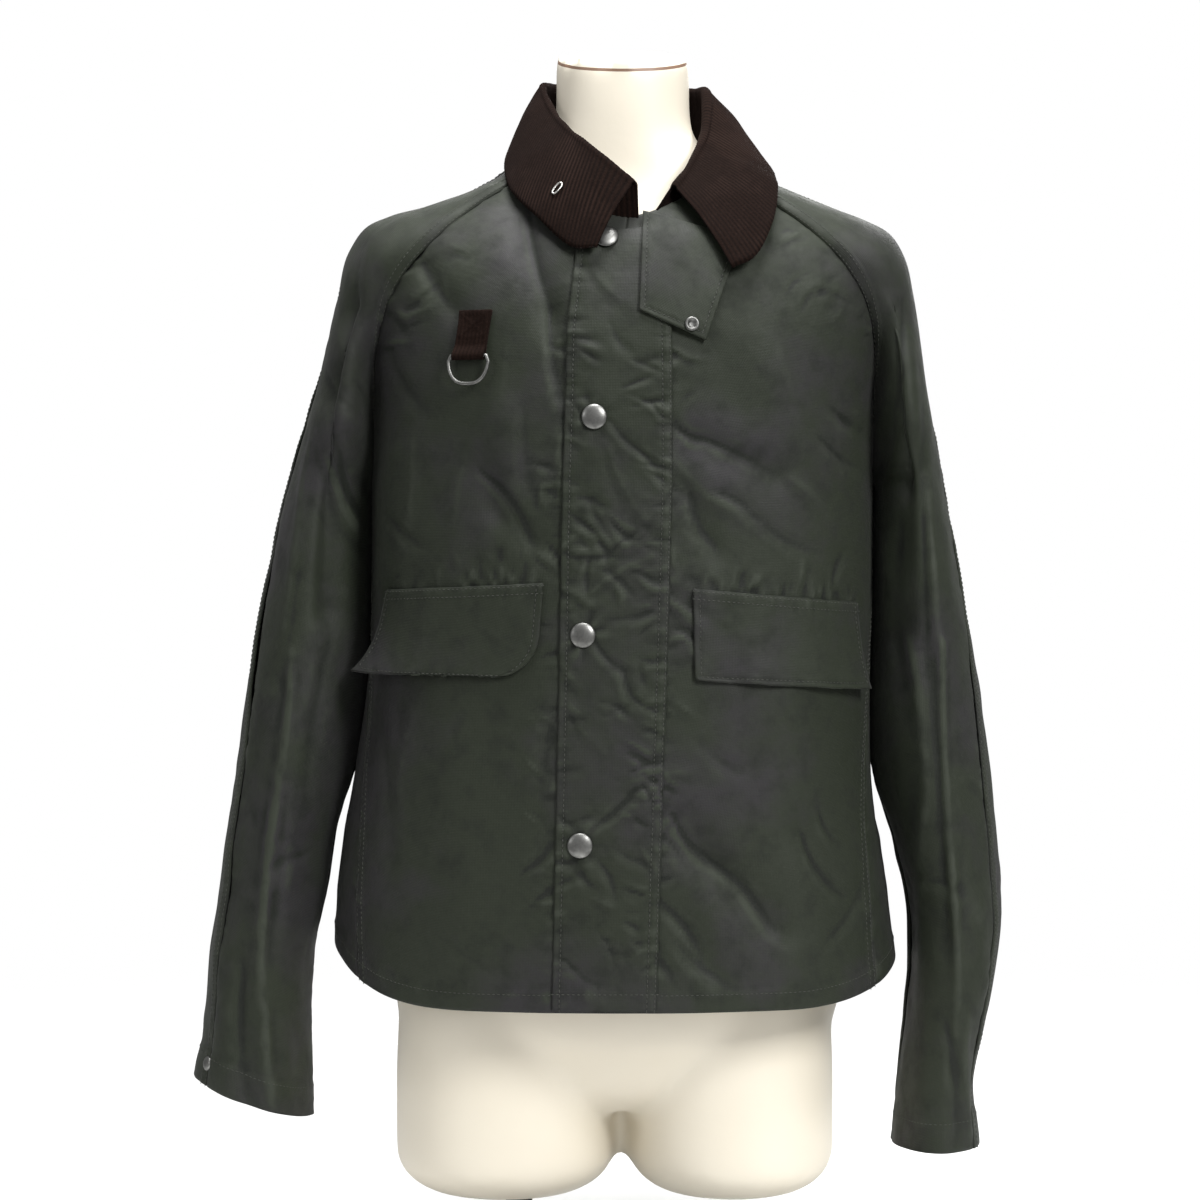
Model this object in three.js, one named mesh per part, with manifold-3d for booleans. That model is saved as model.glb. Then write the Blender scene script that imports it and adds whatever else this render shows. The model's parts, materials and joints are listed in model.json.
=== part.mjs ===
// A short waxed cotton jacket with raglan sleeves, a corduroy collar and a storm placket,
// worn by a limbless dress form on a stand.
// Millimetres. +X is to the wearer's left, -Y is the front, +Z is up, and the base stands on Z = 0.
import * as THREE from "three";
import { mergeVertices } from "three/addons/utils/BufferGeometryUtils.js";
import Module from "manifold-3d";

const wasm = await Module();
wasm.setup();

// Driving dimensions
const STANCE = { x: 16, y: 0 }; // moves the middle of the whole thing over the origin
const WALL = 2; // waxed cotton with its seam folds
const SEAM_GAP = 0.3; // between two pieces that are sewn together
const LAID_GAP = 0.75; // between a panel and what is sewn on it
const TRIM_WALL = 1.8; // flaps, tabs and placket
const ROUNDNESS = 2.35; // exponent of the body's rings, 2 is an ellipse
const UNDERARM = 592; // height of the underarm points
const HEM = { front: 213, right: 250, left: 238, back: 224 }; // height of the hem
const PLACKET_WIDTH = 66;
const STUD_DIAMETER = 18;
const STUD_HEIGHT = 3;
const STUD_GAP = 0.45; // under a stud or hook, which sits on a curved panel
const SMALL_STUD = { diameter: 10.5, height: 2.2 };
const STRAP_WALL = 1.4;
const RING = { width: 33.6, height: 23, wire: 2.6, tilt: 9, clearance: 0.7 };
const LOOP_RADIUS = RING.wire / 2 + RING.clearance + STRAP_WALL / 2; // middle of the strap's loop
const ROD = { x: -76, diameter: 12, footDiameter: 36, footHeight: 10 };
const SOCKET = { diameter: 20, low: 36, top: 80 };
const BASE = { diameter: 370, thickness: 6, x: -14 };
const FORM_ROUNDNESS = 2.15;
const HEM_CURVE = 1.15; // how early the hem turns down from the side to the front and back
const SEAM_FOOT = 214; // height at which a side seam's angle is read for its lower end
const NECK_HOLLOW = { front: 1.35, back: 1.6 }; // above 1 the neck edge dips in the middle
const NECK_INSET = 1.2; // the panels stop this far short of the neck seam
const PAST_NECK = { rise: 200, lean: 0.5 }; // how a panel's surface runs on above the neck seam
const SLEEVE_CLOSES = 0.3; // share of the way down at which a sleeve starts to close to a tube
const UNDERARM_CLEARS = 0.55; // share of the way down at which it starts to clear the body
const OVERARM_TURN = { share: 0.12, start: 0.7, length: 0.8 }; // the overarm seam turns forward
const SEAM_SHARE = 0.85; // share of the seam gap that one side of a raglan or side seam gives
const MOST_BEND = 95; // degrees, sharpest bend between two walls that meet at a seam
const FOLD_FACING = 1.6; // how soon a fold fades where the cloth turns sideways
const FOLD_END = 0.7; // how softly a fold ends

// The body below the underarms, by height: half widths to the wearer's right and left, depths to
// the front and back, and the angle of the side seams, where 90 is straight out to the side
const BODY_RINGS = [
  { z: 205, right: 213, left: 209, front: 151, back: 141, seam: 61 },
  { z: 290, right: 211, left: 199, front: 149, back: 138, seam: 64 },
  { z: 360, right: 200, left: 188, front: 146, back: 134, seam: 70 },
  { z: 440, right: 188, left: 186, front: 143, back: 131, seam: 78 },
  { z: 520, right: 184, left: 187, front: 140, back: 128, seam: 86 },
  { z: 592, right: 184, left: 188, front: 137, back: 127, seam: 90 },
];

// Raglan seams from the underarm to the neck, then the overarm line from the neck to the underarm.
// right and left are distances from the middle, y is depth and z is height.
const FRONT_RAGLAN = [
  { right: 184, left: 188, y: 0, z: 592 },
  { right: 183, left: 187.5, y: -22, z: 619 },
  { right: 181.5, left: 187, y: -38, z: 652 },
  { right: 179, left: 186, y: -56, z: 684 },
  { right: 171, left: 180, y: -74, z: 716 },
  { right: 156, left: 166, y: -85, z: 742 },
  { right: 133, left: 143, y: -84, z: 767 },
  { right: 106, left: 114, y: -70, z: 790 },
  { right: 62, left: 66, y: -38, z: 820 },
];
const BACK_RAGLAN = [
  { right: 184, left: 188, y: 0, z: 592 },
  { right: 182.5, left: 187, y: 25, z: 622 },
  { right: 180, left: 185, y: 46, z: 656 },
  { right: 173, left: 179, y: 67, z: 692 },
  { right: 160, left: 166, y: 84, z: 726 },
  { right: 138, left: 143, y: 93, z: 758 },
  { right: 108, left: 114, y: 93, z: 788 },
  { right: 78, left: 83, y: 83, z: 814 },
  { right: 49, left: 54, y: 68, z: 836 },
];
const OVERARM = [
  { right: 67, rightZ: 837, left: 71, leftZ: 837, y: 12 },
  { right: 88, rightZ: 820, left: 92, leftZ: 822, y: 8 },
  { right: 116, rightZ: 805, left: 124, leftZ: 808, y: 4 },
  { right: 143, rightZ: 795, left: 154, leftZ: 795, y: 1 },
  { right: 170, rightZ: 787, left: 182, leftZ: 784, y: -1 },
  { right: 189, rightZ: 778, left: 199, leftZ: 774, y: -3 },
  { right: 201, rightZ: 760, left: 209, leftZ: 757, y: -4 },
  { right: 208, rightZ: 732, left: 216, leftZ: 728, y: -5 },
  { right: 216, rightZ: 697, left: 221, leftZ: 695, y: -5 },
  { right: 227, rightZ: 655, left: 228, leftZ: 650, y: -3 },
  { right: 242, rightZ: 607, left: 237, leftZ: 603, y: 0 },
];

// Centre front and centre back from the underarm level to the neck seam
const CENTRE_FRONT = [
  { x: -5, y: -137, z: 592 },
  { x: -3.5, y: -135, z: 650 },
  { x: -2, y: -128, z: 705 },
  { x: 1, y: -114, z: 750 },
  { x: 5, y: -95, z: 781 },
];
const CENTRE_BACK = [
  { x: 0, y: 127, z: 592 },
  { x: 0, y: 127, z: 650 },
  { x: 0, y: 122, z: 710 },
  { x: 0, y: 108, z: 770 },
  { x: 1, y: 90, z: 810 },
  { x: 2, y: 76, z: 836 },
];
const CENTRE_FRONT_HEM_X = -15; // the front edge drifts this far across by the hem

// Sleeves below the underarm: inner and outer lines, middle depth and half depth
const SLEEVE_RIGHT = [
  { inner: -187.5, innerZ: 590, outer: -242, outerZ: 607, y: 0, depth: 70 },
  { inner: -188, innerZ: 540, outer: -257, outerZ: 545, y: 0, depth: 72 },
  { inner: -191, innerZ: 480, outer: -270, outerZ: 482, y: -1, depth: 73 },
  { inner: -195, innerZ: 430, outer: -279, outerZ: 430, y: -3, depth: 72 },
  { inner: -203, innerZ: 380, outer: -286, outerZ: 378, y: -6, depth: 70 },
  { inner: -214, innerZ: 330, outer: -294, outerZ: 326, y: -10, depth: 67 },
  { inner: -220, innerZ: 290, outer: -298, outerZ: 290, y: -15, depth: 63 },
  { inner: -229, innerZ: 245, outer: -304, outerZ: 247, y: -20, depth: 60 },
  { inner: -231, innerZ: 205, outer: -306, outerZ: 210, y: -25, depth: 57 },
  { inner: -231, innerZ: 162, outer: -309, outerZ: 178, y: -29, depth: 54 },
  { inner: -230, innerZ: 121, outer: -314, outerZ: 151, y: -32, depth: 51 },
];
const SLEEVE_LEFT = [
  { inner: 191.5, innerZ: 590, outer: 237, outerZ: 603, y: 0, depth: 74 },
  { inner: 191, innerZ: 540, outer: 248, outerZ: 543, y: 0, depth: 76 },
  { inner: 190, innerZ: 480, outer: 259, outerZ: 481, y: -1, depth: 76 },
  { inner: 190, innerZ: 427, outer: 268, outerZ: 427, y: -3, depth: 75 },
  { inner: 193, innerZ: 375, outer: 275, outerZ: 372, y: -7, depth: 73 },
  { inner: 205, innerZ: 323, outer: 280, outerZ: 318, y: -12, depth: 70 },
  { inner: 215, innerZ: 280, outer: 282, outerZ: 272, y: -18, depth: 67 },
  { inner: 217, innerZ: 240, outer: 278, outerZ: 232, y: -25, depth: 65 },
  { inner: 213, innerZ: 196, outer: 270, outerZ: 193, y: -31, depth: 63 },
  { inner: 207, innerZ: 148, outer: 261, outerZ: 148, y: -37, depth: 61 },
  { inner: 203, innerZ: 103, outer: 264, outerZ: 104, y: -42, depth: 59 },
];

// Collar stations from the wearer's right front end round the back to the left front end:
// the neck seam, the roll line at the top and the edge of the fall
const COLLAR = [
  { seam: [13, -99, 786], roll: [12, -100, 803], edge: [-17, -124, 757] },
  { seam: [-12, -93, 793], roll: [-12, -90, 823], edge: [-34, -119, 757] },
  { seam: [-38, -71, 812], roll: [-34, -63, 843], edge: [-60, -103, 780] },
  { seam: [-58, -36, 829], roll: [-48, -28, 862], edge: [-80, -73, 802] },
  { seam: [-64, 6, 841], roll: [-55, 4, 884], edge: [-85, -13, 829] },
  { seam: [-54, 50, 842], roll: [-48, 42, 889], edge: [-77, 58, 831] },
  { seam: [-28, 71, 841], roll: [-26, 62, 890], edge: [-48, 97, 825] },
  { seam: [2, 77, 840], roll: [2, 67, 890], edge: [2, 106, 820] },
  { seam: [32, 71, 841], roll: [31, 62, 889], edge: [54, 98, 825] },
  { seam: [58, 50, 842], roll: [54, 43, 886], edge: [90, 59, 830] },
  { seam: [68, 6, 841], roll: [62, 4, 880], edge: [107, -10, 826] },
  { seam: [63, -36, 829], roll: [60, -30, 846], edge: [114, -65, 808] },
  { seam: [45, -70, 812], roll: [50, -58, 824], edge: [109, -103, 776] },
  { seam: [31, -88, 799], roll: [43, -76, 811], edge: [95, -122, 750] },
  { seam: [22, -97, 788], roll: [36, -89, 801], edge: [79, -128, 742] },
];
const COLLAR_BULGE = 2.5; // how far the fall stands off the straight line from roll to edge
const ROLL_WIDTH = 5.5; // between the stand and the fall at the roll line
const SEAM_DROP = 1.5; // brings the collar's lower edge down to the neck edges of the panels
const STAND_SHARE = 0.35; // share of the section that is the stand
const FALL_START = 0.41; // share of the section where the fall begins

// Largest folds as seen from the front or back: ends, half width and depth, negative is a trough
const FOLDS = {
  front_right: [
    { face: -1, x1: -72, z1: 772, x2: -50, z2: 708, width: 11, depth: -3.5 },
    { face: -1, x1: -50, z1: 708, x2: -42, z2: 660, width: 9, depth: -2.5 },
    { face: -1, x1: -98, z1: 596, x2: -84, z2: 566, width: 12, depth: -3.5 },
    { face: -1, x1: -84, z1: 566, x2: -64, z2: 548, width: 10, depth: -3 },
    { face: -1, x1: -84, z1: 634, x2: -76, z2: 558, width: 13, depth: 2.5 },
    { face: -1, x1: -160, z1: 606, x2: -166, z2: 530, width: 13, depth: 3 },
    { face: -1, x1: -141, z1: 744, x2: -121, z2: 716, width: 10, depth: -3 },
    { face: -1, x1: -120, z1: 430, x2: -112, z2: 250, width: 22, depth: 3 },
  ],
  front_left: [
    { face: -1, x1: 46, z1: 342, x2: 60, z2: 324, width: 12, depth: -3.5 },
    { face: -1, x1: 60, z1: 324, x2: 106, z2: 275, width: 14, depth: -5 },
    { face: -1, x1: 46, z1: 276, x2: 62, z2: 250, width: 11, depth: -3 },
    { face: -1, x1: 130, z1: 333, x2: 160, z2: 290, width: 11, depth: -3 },
    { face: -1, x1: 52, z1: 617, x2: 104, z2: 598, width: 12, depth: -3 },
    { face: -1, x1: 48, z1: 580, x2: 64, z2: 546, width: 10, depth: -2.5 },
    { face: -1, x1: 92, z1: 690, x2: 140, z2: 610, width: 20, depth: 3 },
    { face: -1, x1: 120, z1: 420, x2: 132, z2: 240, width: 24, depth: 3.5 },
  ],
  back: [
    { face: 1, x1: -120, z1: 700, x2: -40, z2: 610, width: 20, depth: -3.5 },
    { face: 1, x1: 125, z1: 700, x2: 50, z2: 600, width: 20, depth: -3.5 },
    { face: 1, x1: -95, z1: 470, x2: -110, z2: 235, width: 24, depth: 4 },
    { face: 1, x1: 20, z1: 440, x2: 35, z2: 230, width: 26, depth: -4 },
    { face: 1, x1: 110, z1: 480, x2: 130, z2: 240, width: 24, depth: 3.5 },
  ],
  sleeve_right: [
    { face: -1, x1: -196, z1: 762, x2: -200, z2: 712, width: 11, depth: -5 },
    { face: -1, x1: -200, z1: 712, x2: -211, z2: 655, width: 12, depth: -8 },
    { face: -1, x1: -211, z1: 655, x2: -210, z2: 500, width: 13, depth: -9 },
    { face: -1, x1: -228, z1: 330, x2: -292, z2: 292, width: 15, depth: -5 },
    { face: -1, x1: -234, z1: 285, x2: -290, z2: 262, width: 13, depth: -4 },
    { face: -1, x1: -234, z1: 306, x2: -288, z2: 330, width: 14, depth: 3.5 },
    { face: 1, x1: -206, z1: 690, x2: -216, z2: 520, width: 16, depth: -7 },
    { face: 1, x1: -230, z1: 340, x2: -296, z2: 310, width: 16, depth: -5 },
  ],
  sleeve_left: [
    { face: -1, x1: 200, z1: 726, x2: 210, z2: 712, width: 14, depth: -6 },
    { face: -1, x1: 198, z1: 700, x2: 203, z2: 600, width: 12, depth: -8 },
    { face: -1, x1: 203, z1: 600, x2: 206, z2: 480, width: 13, depth: -6 },
    { face: -1, x1: 222, z1: 330, x2: 276, z2: 290, width: 15, depth: -5 },
    { face: -1, x1: 228, z1: 262, x2: 280, z2: 236, width: 14, depth: -5 },
    { face: -1, x1: 214, z1: 410, x2: 262, z2: 372, width: 16, depth: -3.5 },
    { face: 1, x1: 206, z1: 690, x2: 212, z2: 520, width: 16, depth: -7 },
    { face: 1, x1: 222, z1: 330, x2: 278, z2: 300, width: 16, depth: -5 },
  ],
};

// Laid pieces in the front view, each corner as x and height. right is the wearer's right.
const FLAPS = {
  flap_right: {
    side: -1,
    topRight: [-168, 512],
    topLeft: [-55, 518],
    lowRight: [-174, 451],
    lowLeft: [-60, 451],
    lift: 1.2,
    cornerLift: 7,
    flare: 14,
    flareFrom: 0.6,
    cornerAcross: 0.25, // share of the width and of the height that the round front corner takes
    cornerUp: 0.44,
  },
  flap_left: {
    side: 1,
    topRight: [51, 514],
    topLeft: [170, 503],
    lowRight: [52, 449],
    lowLeft: [173, 439],
    lift: 1.2,
    cornerLift: 4,
    flare: 4,
    flareFrom: 0.6,
    cornerAcross: 0.03,
    cornerUp: 0.05,
  },
};
const THROAT_TAB = {
  lowRight: [13, 711],
  lowLeft: [60, 690],
  topRight: [17, 772],
  topLeft: [84, 744],
  slant: 26, // how far the tab drifts to the left on its way up
  stepAt: 44, // where it comes down from the placket's edge on to the front
  stepLength: 18,
  stepDown: 1.6,
};
const RING_STRAP = { barX: -107, barZ: 680, width: 23.4, length: 32, lean: 0.15 };
const STUDS = [
  { x: -11, z: 764 },
  { x: -19, z: 636 },
  { x: -27, z: 481 },
  { x: -29, z: 332 },
];
const TAB_STUD = { x: 50, z: 701 };
const CUFF_STUD = { x: -302, z: 163 };
const COLLAR_HOOK = { x: -47, z: 802, length: 10, width: 4, lean: 60, wire: 1.2 };
const PLACKET_ROWS = 24;
const PLACKET_TOP = 1.93; // just under the neck seam

// The form under the jacket, by height: half width, half depth, and its middle
const FORM_RINGS = [
  { z: 126, width: 26, depth: 62, x: -3, y: 2 },
  { z: 140, width: 70, depth: 82, x: -3, y: 2 },
  { z: 166, width: 130, depth: 98, x: -3, y: 2 },
  { z: 200, width: 166, depth: 112, x: -2, y: 2 },
  { z: 300, width: 160, depth: 109, x: -1, y: 2 },
  { z: 400, width: 149, depth: 101, x: 0, y: 2 },
  { z: 450, width: 147, depth: 99, x: 0, y: 1 },
  { z: 550, width: 157, depth: 106, x: 0, y: 0 },
  { z: 630, width: 164, depth: 108, x: 1, y: 0 },
  { z: 690, width: 165, depth: 101, x: 1, y: 1 },
  { z: 730, width: 163, depth: 90, x: 1, y: 2 },
  { z: 764, width: 157, depth: 76, x: 2, y: 3 },
  { z: 785, width: 143, depth: 64, x: 3, y: 3 },
  { z: 799, width: 124, depth: 56, x: 3, y: 3 },
  { z: 809, width: 107, depth: 52, x: 3, y: 2 },
  { z: 819, width: 89, depth: 50, x: 3, y: 2 },
  { z: 831, width: 68, depth: 49, x: 3, y: 1 },
  { z: 843, width: 57, depth: 48, x: 2, y: 0 },
  { z: 860, width: 50.5, depth: 48, x: 2, y: -1 },
  { z: 920, width: 50, depth: 48, x: 2, y: -3 },
];
const NECK_TOP_SLOPE = 0.26; // the cap at the top of the neck leans forward
const THIGHS = [
  { x: -86, y: 1, width: 82, depth: 102 },
  { x: 83, y: 1, width: 77, depth: 100 },
];
const THIGH_ROUNDING = [
  { z: 58, share: 0.02 },
  { z: 59.5, share: 0.42 },
  { z: 63, share: 0.68 },
  { z: 69, share: 0.84 },
  { z: 78, share: 0.95 },
  { z: 92, share: 1 },
  { z: 150, share: 1 },
  { z: 215, share: 0.96 },
];

// Grid counts: across and along each panel
const FRONT_GRID = { across: 15, lower: 17, upper: 10 };
const BACK_GRID = { across: 20, lower: 14, upper: 9 };
const SLEEVE_GRID = { across: 8, upper: 10, lower: 18 };
const COLLAR_STEPS = 34;
const FLAP_GRID = { across: 10, up: 8 };
const TAB_GRID = { across: 8, up: 8 };

const CLOTH_GREEN = 0x34382f;
const CORDUROY_BROWN = 0x2c1e1c;
const METAL_GREY = 0x8e8f8c;
const FORM_CREAM = 0xe8e0cf;
const STAND_BLACK = 0x1a1a1a;

const group = new THREE.Group();
group.position.set(STANCE.x, STANCE.y, 0);

function add(name, geometry, color, roughness, metalness = 0) {
  const material = new THREE.MeshStandardMaterial({ color, roughness, metalness });
  const mesh = new THREE.Mesh(geometry, material);
  mesh.name = name;
  group.add(mesh);
}

// Smooth value of one column of a table at a place between its rows
function smoothColumn(rows, column, place) {
  const last = rows.length - 1;
  const i = Math.min(Math.max(Math.floor(place), 0), last - 1);
  const f = place - i;
  const at = (k) => rows[Math.min(Math.max(k, 0), last)][column];
  const slopeIn = i > 0 ? (at(i + 1) - at(i - 1)) / 2 : at(i + 1) - at(i);
  const slopeOut = i + 1 < last ? (at(i + 2) - at(i)) / 2 : at(i + 1) - at(i);
  const g = f * f;
  const h = g * f;
  return (
    at(i) * (2 * h - 3 * g + 1) +
    slopeIn * (h - 2 * g + f) +
    at(i + 1) * (3 * g - 2 * h) +
    slopeOut * (h - g)
  );
}

// Place between rows where the z column passes a height
function placeOfHeight(rows, z) {
  let i = 0;
  while (i < rows.length - 2 && z > rows[i + 1].z) i += 1;
  return i + (z - rows[i].z) / (rows[i + 1].z - rows[i].z);
}

const signedPower = (value, power) => Math.sign(value) * Math.abs(value) ** power;
const across = (angle) => signedPower(Math.sin(angle), 2 / ROUNDNESS);
const ahead = (angle) => signedPower(Math.cos(angle), 2 / ROUNDNESS);
const radians = THREE.MathUtils.degToRad;
const ease = (x) => THREE.MathUtils.smoothstep(x, 0, 1);

// Point of the body's ring at a height, at an angle from the centre front; side is -1 right, 1 left
function ringPoint(side, z, angle) {
  const place = placeOfHeight(BODY_RINGS, z);
  const half = smoothColumn(BODY_RINGS, side < 0 ? "right" : "left", place);
  const depth = smoothColumn(BODY_RINGS, angle < Math.PI / 2 ? "front" : "back", place);
  return new THREE.Vector3(side * half * across(angle), -depth * ahead(angle), z);
}

function curveThrough(points) {
  return new THREE.CatmullRomCurve3(points, false, "centripetal");
}

const sideName = (side) => (side < 0 ? "right" : "left");

function raglanCurve(rows, side) {
  return curveThrough(rows.map((row) => new THREE.Vector3(side * row[sideName(side)], row.y, row.z)));
}

function overarmCurve(side) {
  const name = sideName(side);
  return curveThrough(
    OVERARM.map((row) => new THREE.Vector3(side * row[name], row.y, row[name + "Z"])),
  );
}

const curves = {};
for (const side of [-1, 1]) {
  curves[side] = {
    front: raglanCurve(FRONT_RAGLAN, side),
    back: raglanCurve(BACK_RAGLAN, side),
    overarm: overarmCurve(side),
  };
}
const centreFront = curveThrough(CENTRE_FRONT.map((row) => new THREE.Vector3(row.x, row.y, row.z)));
const centreBack = curveThrough(CENTRE_BACK.map((row) => new THREE.Vector3(row.x, row.y, row.z)));

function hemHeight(side, angle) {
  const high = HEM[sideName(side)];
  const low = Math.cos(angle) > 0 ? HEM.front : HEM.back;
  return high + (low - high) * ease(Math.abs(Math.cos(angle)) * HEM_CURVE);
}

// Smooth unit normal of a surface given as a function of two parameters
function normalOf(surface, a, b) {
  const step = 0.004;
  const alongA = surface(a + step, b).sub(surface(a - step, b));
  const alongB = surface(a, b + step).sub(surface(a, b - step));
  return alongA.cross(alongB).normalize();
}

// Height at which a lower panel's own parameter reads the seam angle
const seamLevel = (v) => SEAM_FOOT + (UNDERARM - SEAM_FOOT) * v;

// Depth of the folds at a point whose surface faces the given way in depth
function foldDepth(folds, point, facing) {
  let depth = 0;
  for (const fold of folds) {
    const weight = ease(facing * fold.face * FOLD_FACING);
    if (weight === 0) continue;
    const dx = fold.x2 - fold.x1;
    const dz = fold.z2 - fold.z1;
    const length = Math.hypot(dx, dz);
    const along = ((point.x - fold.x1) * dx + (point.z - fold.z1) * dz) / length;
    const aside = ((point.x - fold.x1) * dz - (point.z - fold.z1) * dx) / length;
    const past = Math.max(0, -along, along - length);
    const spread = Math.hypot(aside, past * FOLD_END) / fold.width;
    depth += fold.depth * weight * Math.exp(-spread * spread);
  }
  return depth;
}

function folded(surface, folds, outward) {
  return (a, b) => {
    const point = surface(a, b);
    const normal = normalOf(surface, a, b).multiplyScalar(outward);
    return point.addScaledVector(normal, foldDepth(folds, point, normal.y));
  };
}

// Centre front edge below the underarm drifts to the wearer's right towards the hem
function frontEdgeX(z) {
  const share = THREE.MathUtils.clamp((UNDERARM - z) / (UNDERARM - HEM.front), -0.1, 1.1);
  return CENTRE_FRONT[0].x + (CENTRE_FRONT_HEM_X - CENTRE_FRONT[0].x) * share;
}

function angleOfX(side, z, x) {
  const place = placeOfHeight(BODY_RINGS, z);
  const half = smoothColumn(BODY_RINGS, sideName(side), place);
  return Math.asin(signedPower((side * x) / half, ROUNDNESS / 2));
}

// Front panel: u from the centre front edge to the seam, v 0 at the hem, 1 at the underarm, 2 at the
// neck. Past the edge it goes on smoothly, so that seams and laid pieces can be worked out.
function plainFront(side) {
  return (u, v) => {
    if (v <= 1) {
      const level = seamLevel(v);
      const seam = radians(smoothColumn(BODY_RINGS, "seam", placeOfHeight(BODY_RINGS, level)));
      const edge = angleOfX(side, level, frontEdgeX(level));
      const angle = edge + (seam - edge) * u;
      const z = hemHeight(side, angle) * (1 - v) + UNDERARM * v;
      return ringPoint(side, z, angle);
    }
    const q = Math.min(v - 1, 1);
    const centre = centreFront.getPointAt(q);
    const seam = curves[side].front.getPointAt(q);
    const turn = Math.acos(signedPower(seam.y / centre.y, ROUNDNESS / 2));
    const start = angleOfX(side, UNDERARM, centre.x) * (1 - q);
    const angle = start + (turn - start) * u;
    const sideways = (across(angle) - across(start)) / (across(turn) - across(start));
    const forward = (ahead(angle) - ahead(turn)) / (ahead(start) - ahead(turn));
    const extra = (v - 1 - q) * PAST_NECK.rise;
    return new THREE.Vector3(
      centre.x + (seam.x - centre.x) * sideways,
      seam.y + (centre.y - seam.y) * forward + extra * PAST_NECK.lean,
      centre.z + (seam.z - centre.z) * signedPower(u, NECK_HOLLOW.front) + extra,
    );
  };
}

// Back panel: u from -1 at the wearer's right seam to 1 at the left seam, v as on the fronts
function plainBack(u, v) {
  const side = u < 0 ? -1 : 1;
  const reach = Math.abs(u);
  if (v <= 1) {
    const seam = radians(smoothColumn(BODY_RINGS, "seam", placeOfHeight(BODY_RINGS, seamLevel(v))));
    const angle = Math.PI - (Math.PI - seam) * reach;
    const z = hemHeight(side, angle) * (1 - v) + UNDERARM * v;
    return ringPoint(side, z, angle);
  }
  const q = Math.min(v - 1, 1);
  const centre = centreBack.getPointAt(q);
  const seam = curves[side].back.getPointAt(q);
  const turn = Math.acos(signedPower(seam.y / centre.y, ROUNDNESS / 2));
  const angle = turn * reach;
  const sideways = across(angle) / across(turn);
  const backward = (ahead(angle) - ahead(turn)) / (1 - ahead(turn));
  const extra = (v - 1 - q) * PAST_NECK.rise;
  return new THREE.Vector3(
    centre.x + (seam.x - centre.x) * sideways,
    seam.y + (centre.y - seam.y) * backward - extra * PAST_NECK.lean,
    centre.z + (seam.z - centre.z) * signedPower(reach, NECK_HOLLOW.back) + extra,
  );
}

// Raglan sleeve: s runs from the front seam over the arm to the back seam, t is 0 at the neck,
// 1 at the underarm and 2 at the cuff. Below the underarm the two seams are one.
function plainSleeve(side) {
  const rows = side < 0 ? SLEEVE_RIGHT : SLEEVE_LEFT;
  return (s, t) => {
    const over = new THREE.Vector3();
    const front = new THREE.Vector3();
    const back = new THREE.Vector3();
    let depth = rows[0].depth;
    let closed = 1;
    if (t <= 1) {
      over.copy(curves[side].overarm.getPointAt(Math.max(t, 0)));
      front.copy(curves[side].front.getPointAt(1 - Math.max(t, 0)));
      back.copy(curves[side].back.getPointAt(1 - Math.max(t, 0)));
      const clearing = ease((t - UNDERARM_CLEARS) / (1 - UNDERARM_CLEARS));
      const clear = clearing * (Math.abs(rows[0].inner) - Math.abs(front.x));
      front.x += side * Math.max(clear, 0);
      back.x += side * Math.max(clear, 0);
      closed = ease((t - SLEEVE_CLOSES) / (1 - SLEEVE_CLOSES));
      depth = rows[0].depth * closed;
    } else {
      const place = (Math.min(t, 2) - 1) * (rows.length - 1);
      const y = smoothColumn(rows, "y", place);
      depth = smoothColumn(rows, "depth", place);
      front.set(smoothColumn(rows, "inner", place), y, smoothColumn(rows, "innerZ", place));
      back.copy(front);
      over.set(smoothColumn(rows, "outer", place), y, smoothColumn(rows, "outerZ", place));
    }
    const middle = front.clone().add(back).multiplyScalar(0.5);
    const rise = (1 - closed) * Math.sin(Math.PI * s) + closed * Math.sin(Math.PI * s) ** 2;
    return middle
      .clone()
      .addScaledVector(front.clone().sub(back), 0.5 * Math.cos(Math.PI * s))
      .addScaledVector(over.sub(middle), rise)
      .add(new THREE.Vector3(0, -depth * Math.sin(2 * Math.PI * s), 0));
  };
}

// Closed wall over a grid of middle points: outer and inner faces and the four rims.
// The rows run so that (along the row) x (to the next row) points out of the garment.
function wallOver(points, thickness) {
  const rows = points.length;
  const columns = points[0].length;
  const normals = points.map((row, j) =>
    row.map((point, i) => {
      const alongRow = row[Math.min(i + 1, columns - 1)].clone().sub(row[Math.max(i - 1, 0)]);
      const before = points[Math.max(j - 1, 0)][i];
      const after = points[Math.min(j + 1, rows - 1)][i];
      return alongRow.cross(after.clone().sub(before)).normalize();
    }),
  );
  const positions = [];
  for (const offset of [thickness / 2, -thickness / 2]) {
    points.forEach((row, j) =>
      row.forEach((point, i) => {
        positions.push(...point.clone().addScaledVector(normals[j][i], offset).toArray());
      }),
    );
  }
  const index = [];
  const inner = rows * columns;
  const at = (j, i) => j * columns + i;
  const quad = (a, b, c, d) => index.push(a, b, c, a, c, d);
  for (let j = 0; j < rows - 1; j += 1) {
    for (let i = 0; i < columns - 1; i += 1) {
      quad(at(j, i), at(j, i + 1), at(j + 1, i + 1), at(j + 1, i));
      quad(inner + at(j, i), inner + at(j + 1, i), inner + at(j + 1, i + 1), inner + at(j, i + 1));
    }
  }
  const rim = (a, b) => quad(a, inner + a, inner + b, b);
  for (let i = 0; i < columns - 1; i += 1) {
    rim(at(0, i), at(0, i + 1));
    rim(at(rows - 1, i + 1), at(rows - 1, i));
  }
  for (let j = 0; j < rows - 1; j += 1) {
    rim(at(j + 1, 0), at(j, 0));
    rim(at(j, columns - 1), at(j + 1, columns - 1));
  }
  const geometry = new THREE.BufferGeometry();
  geometry.setAttribute("position", new THREE.Float32BufferAttribute(positions, 3));
  geometry.setIndex(index);
  return geometry;
}

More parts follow.
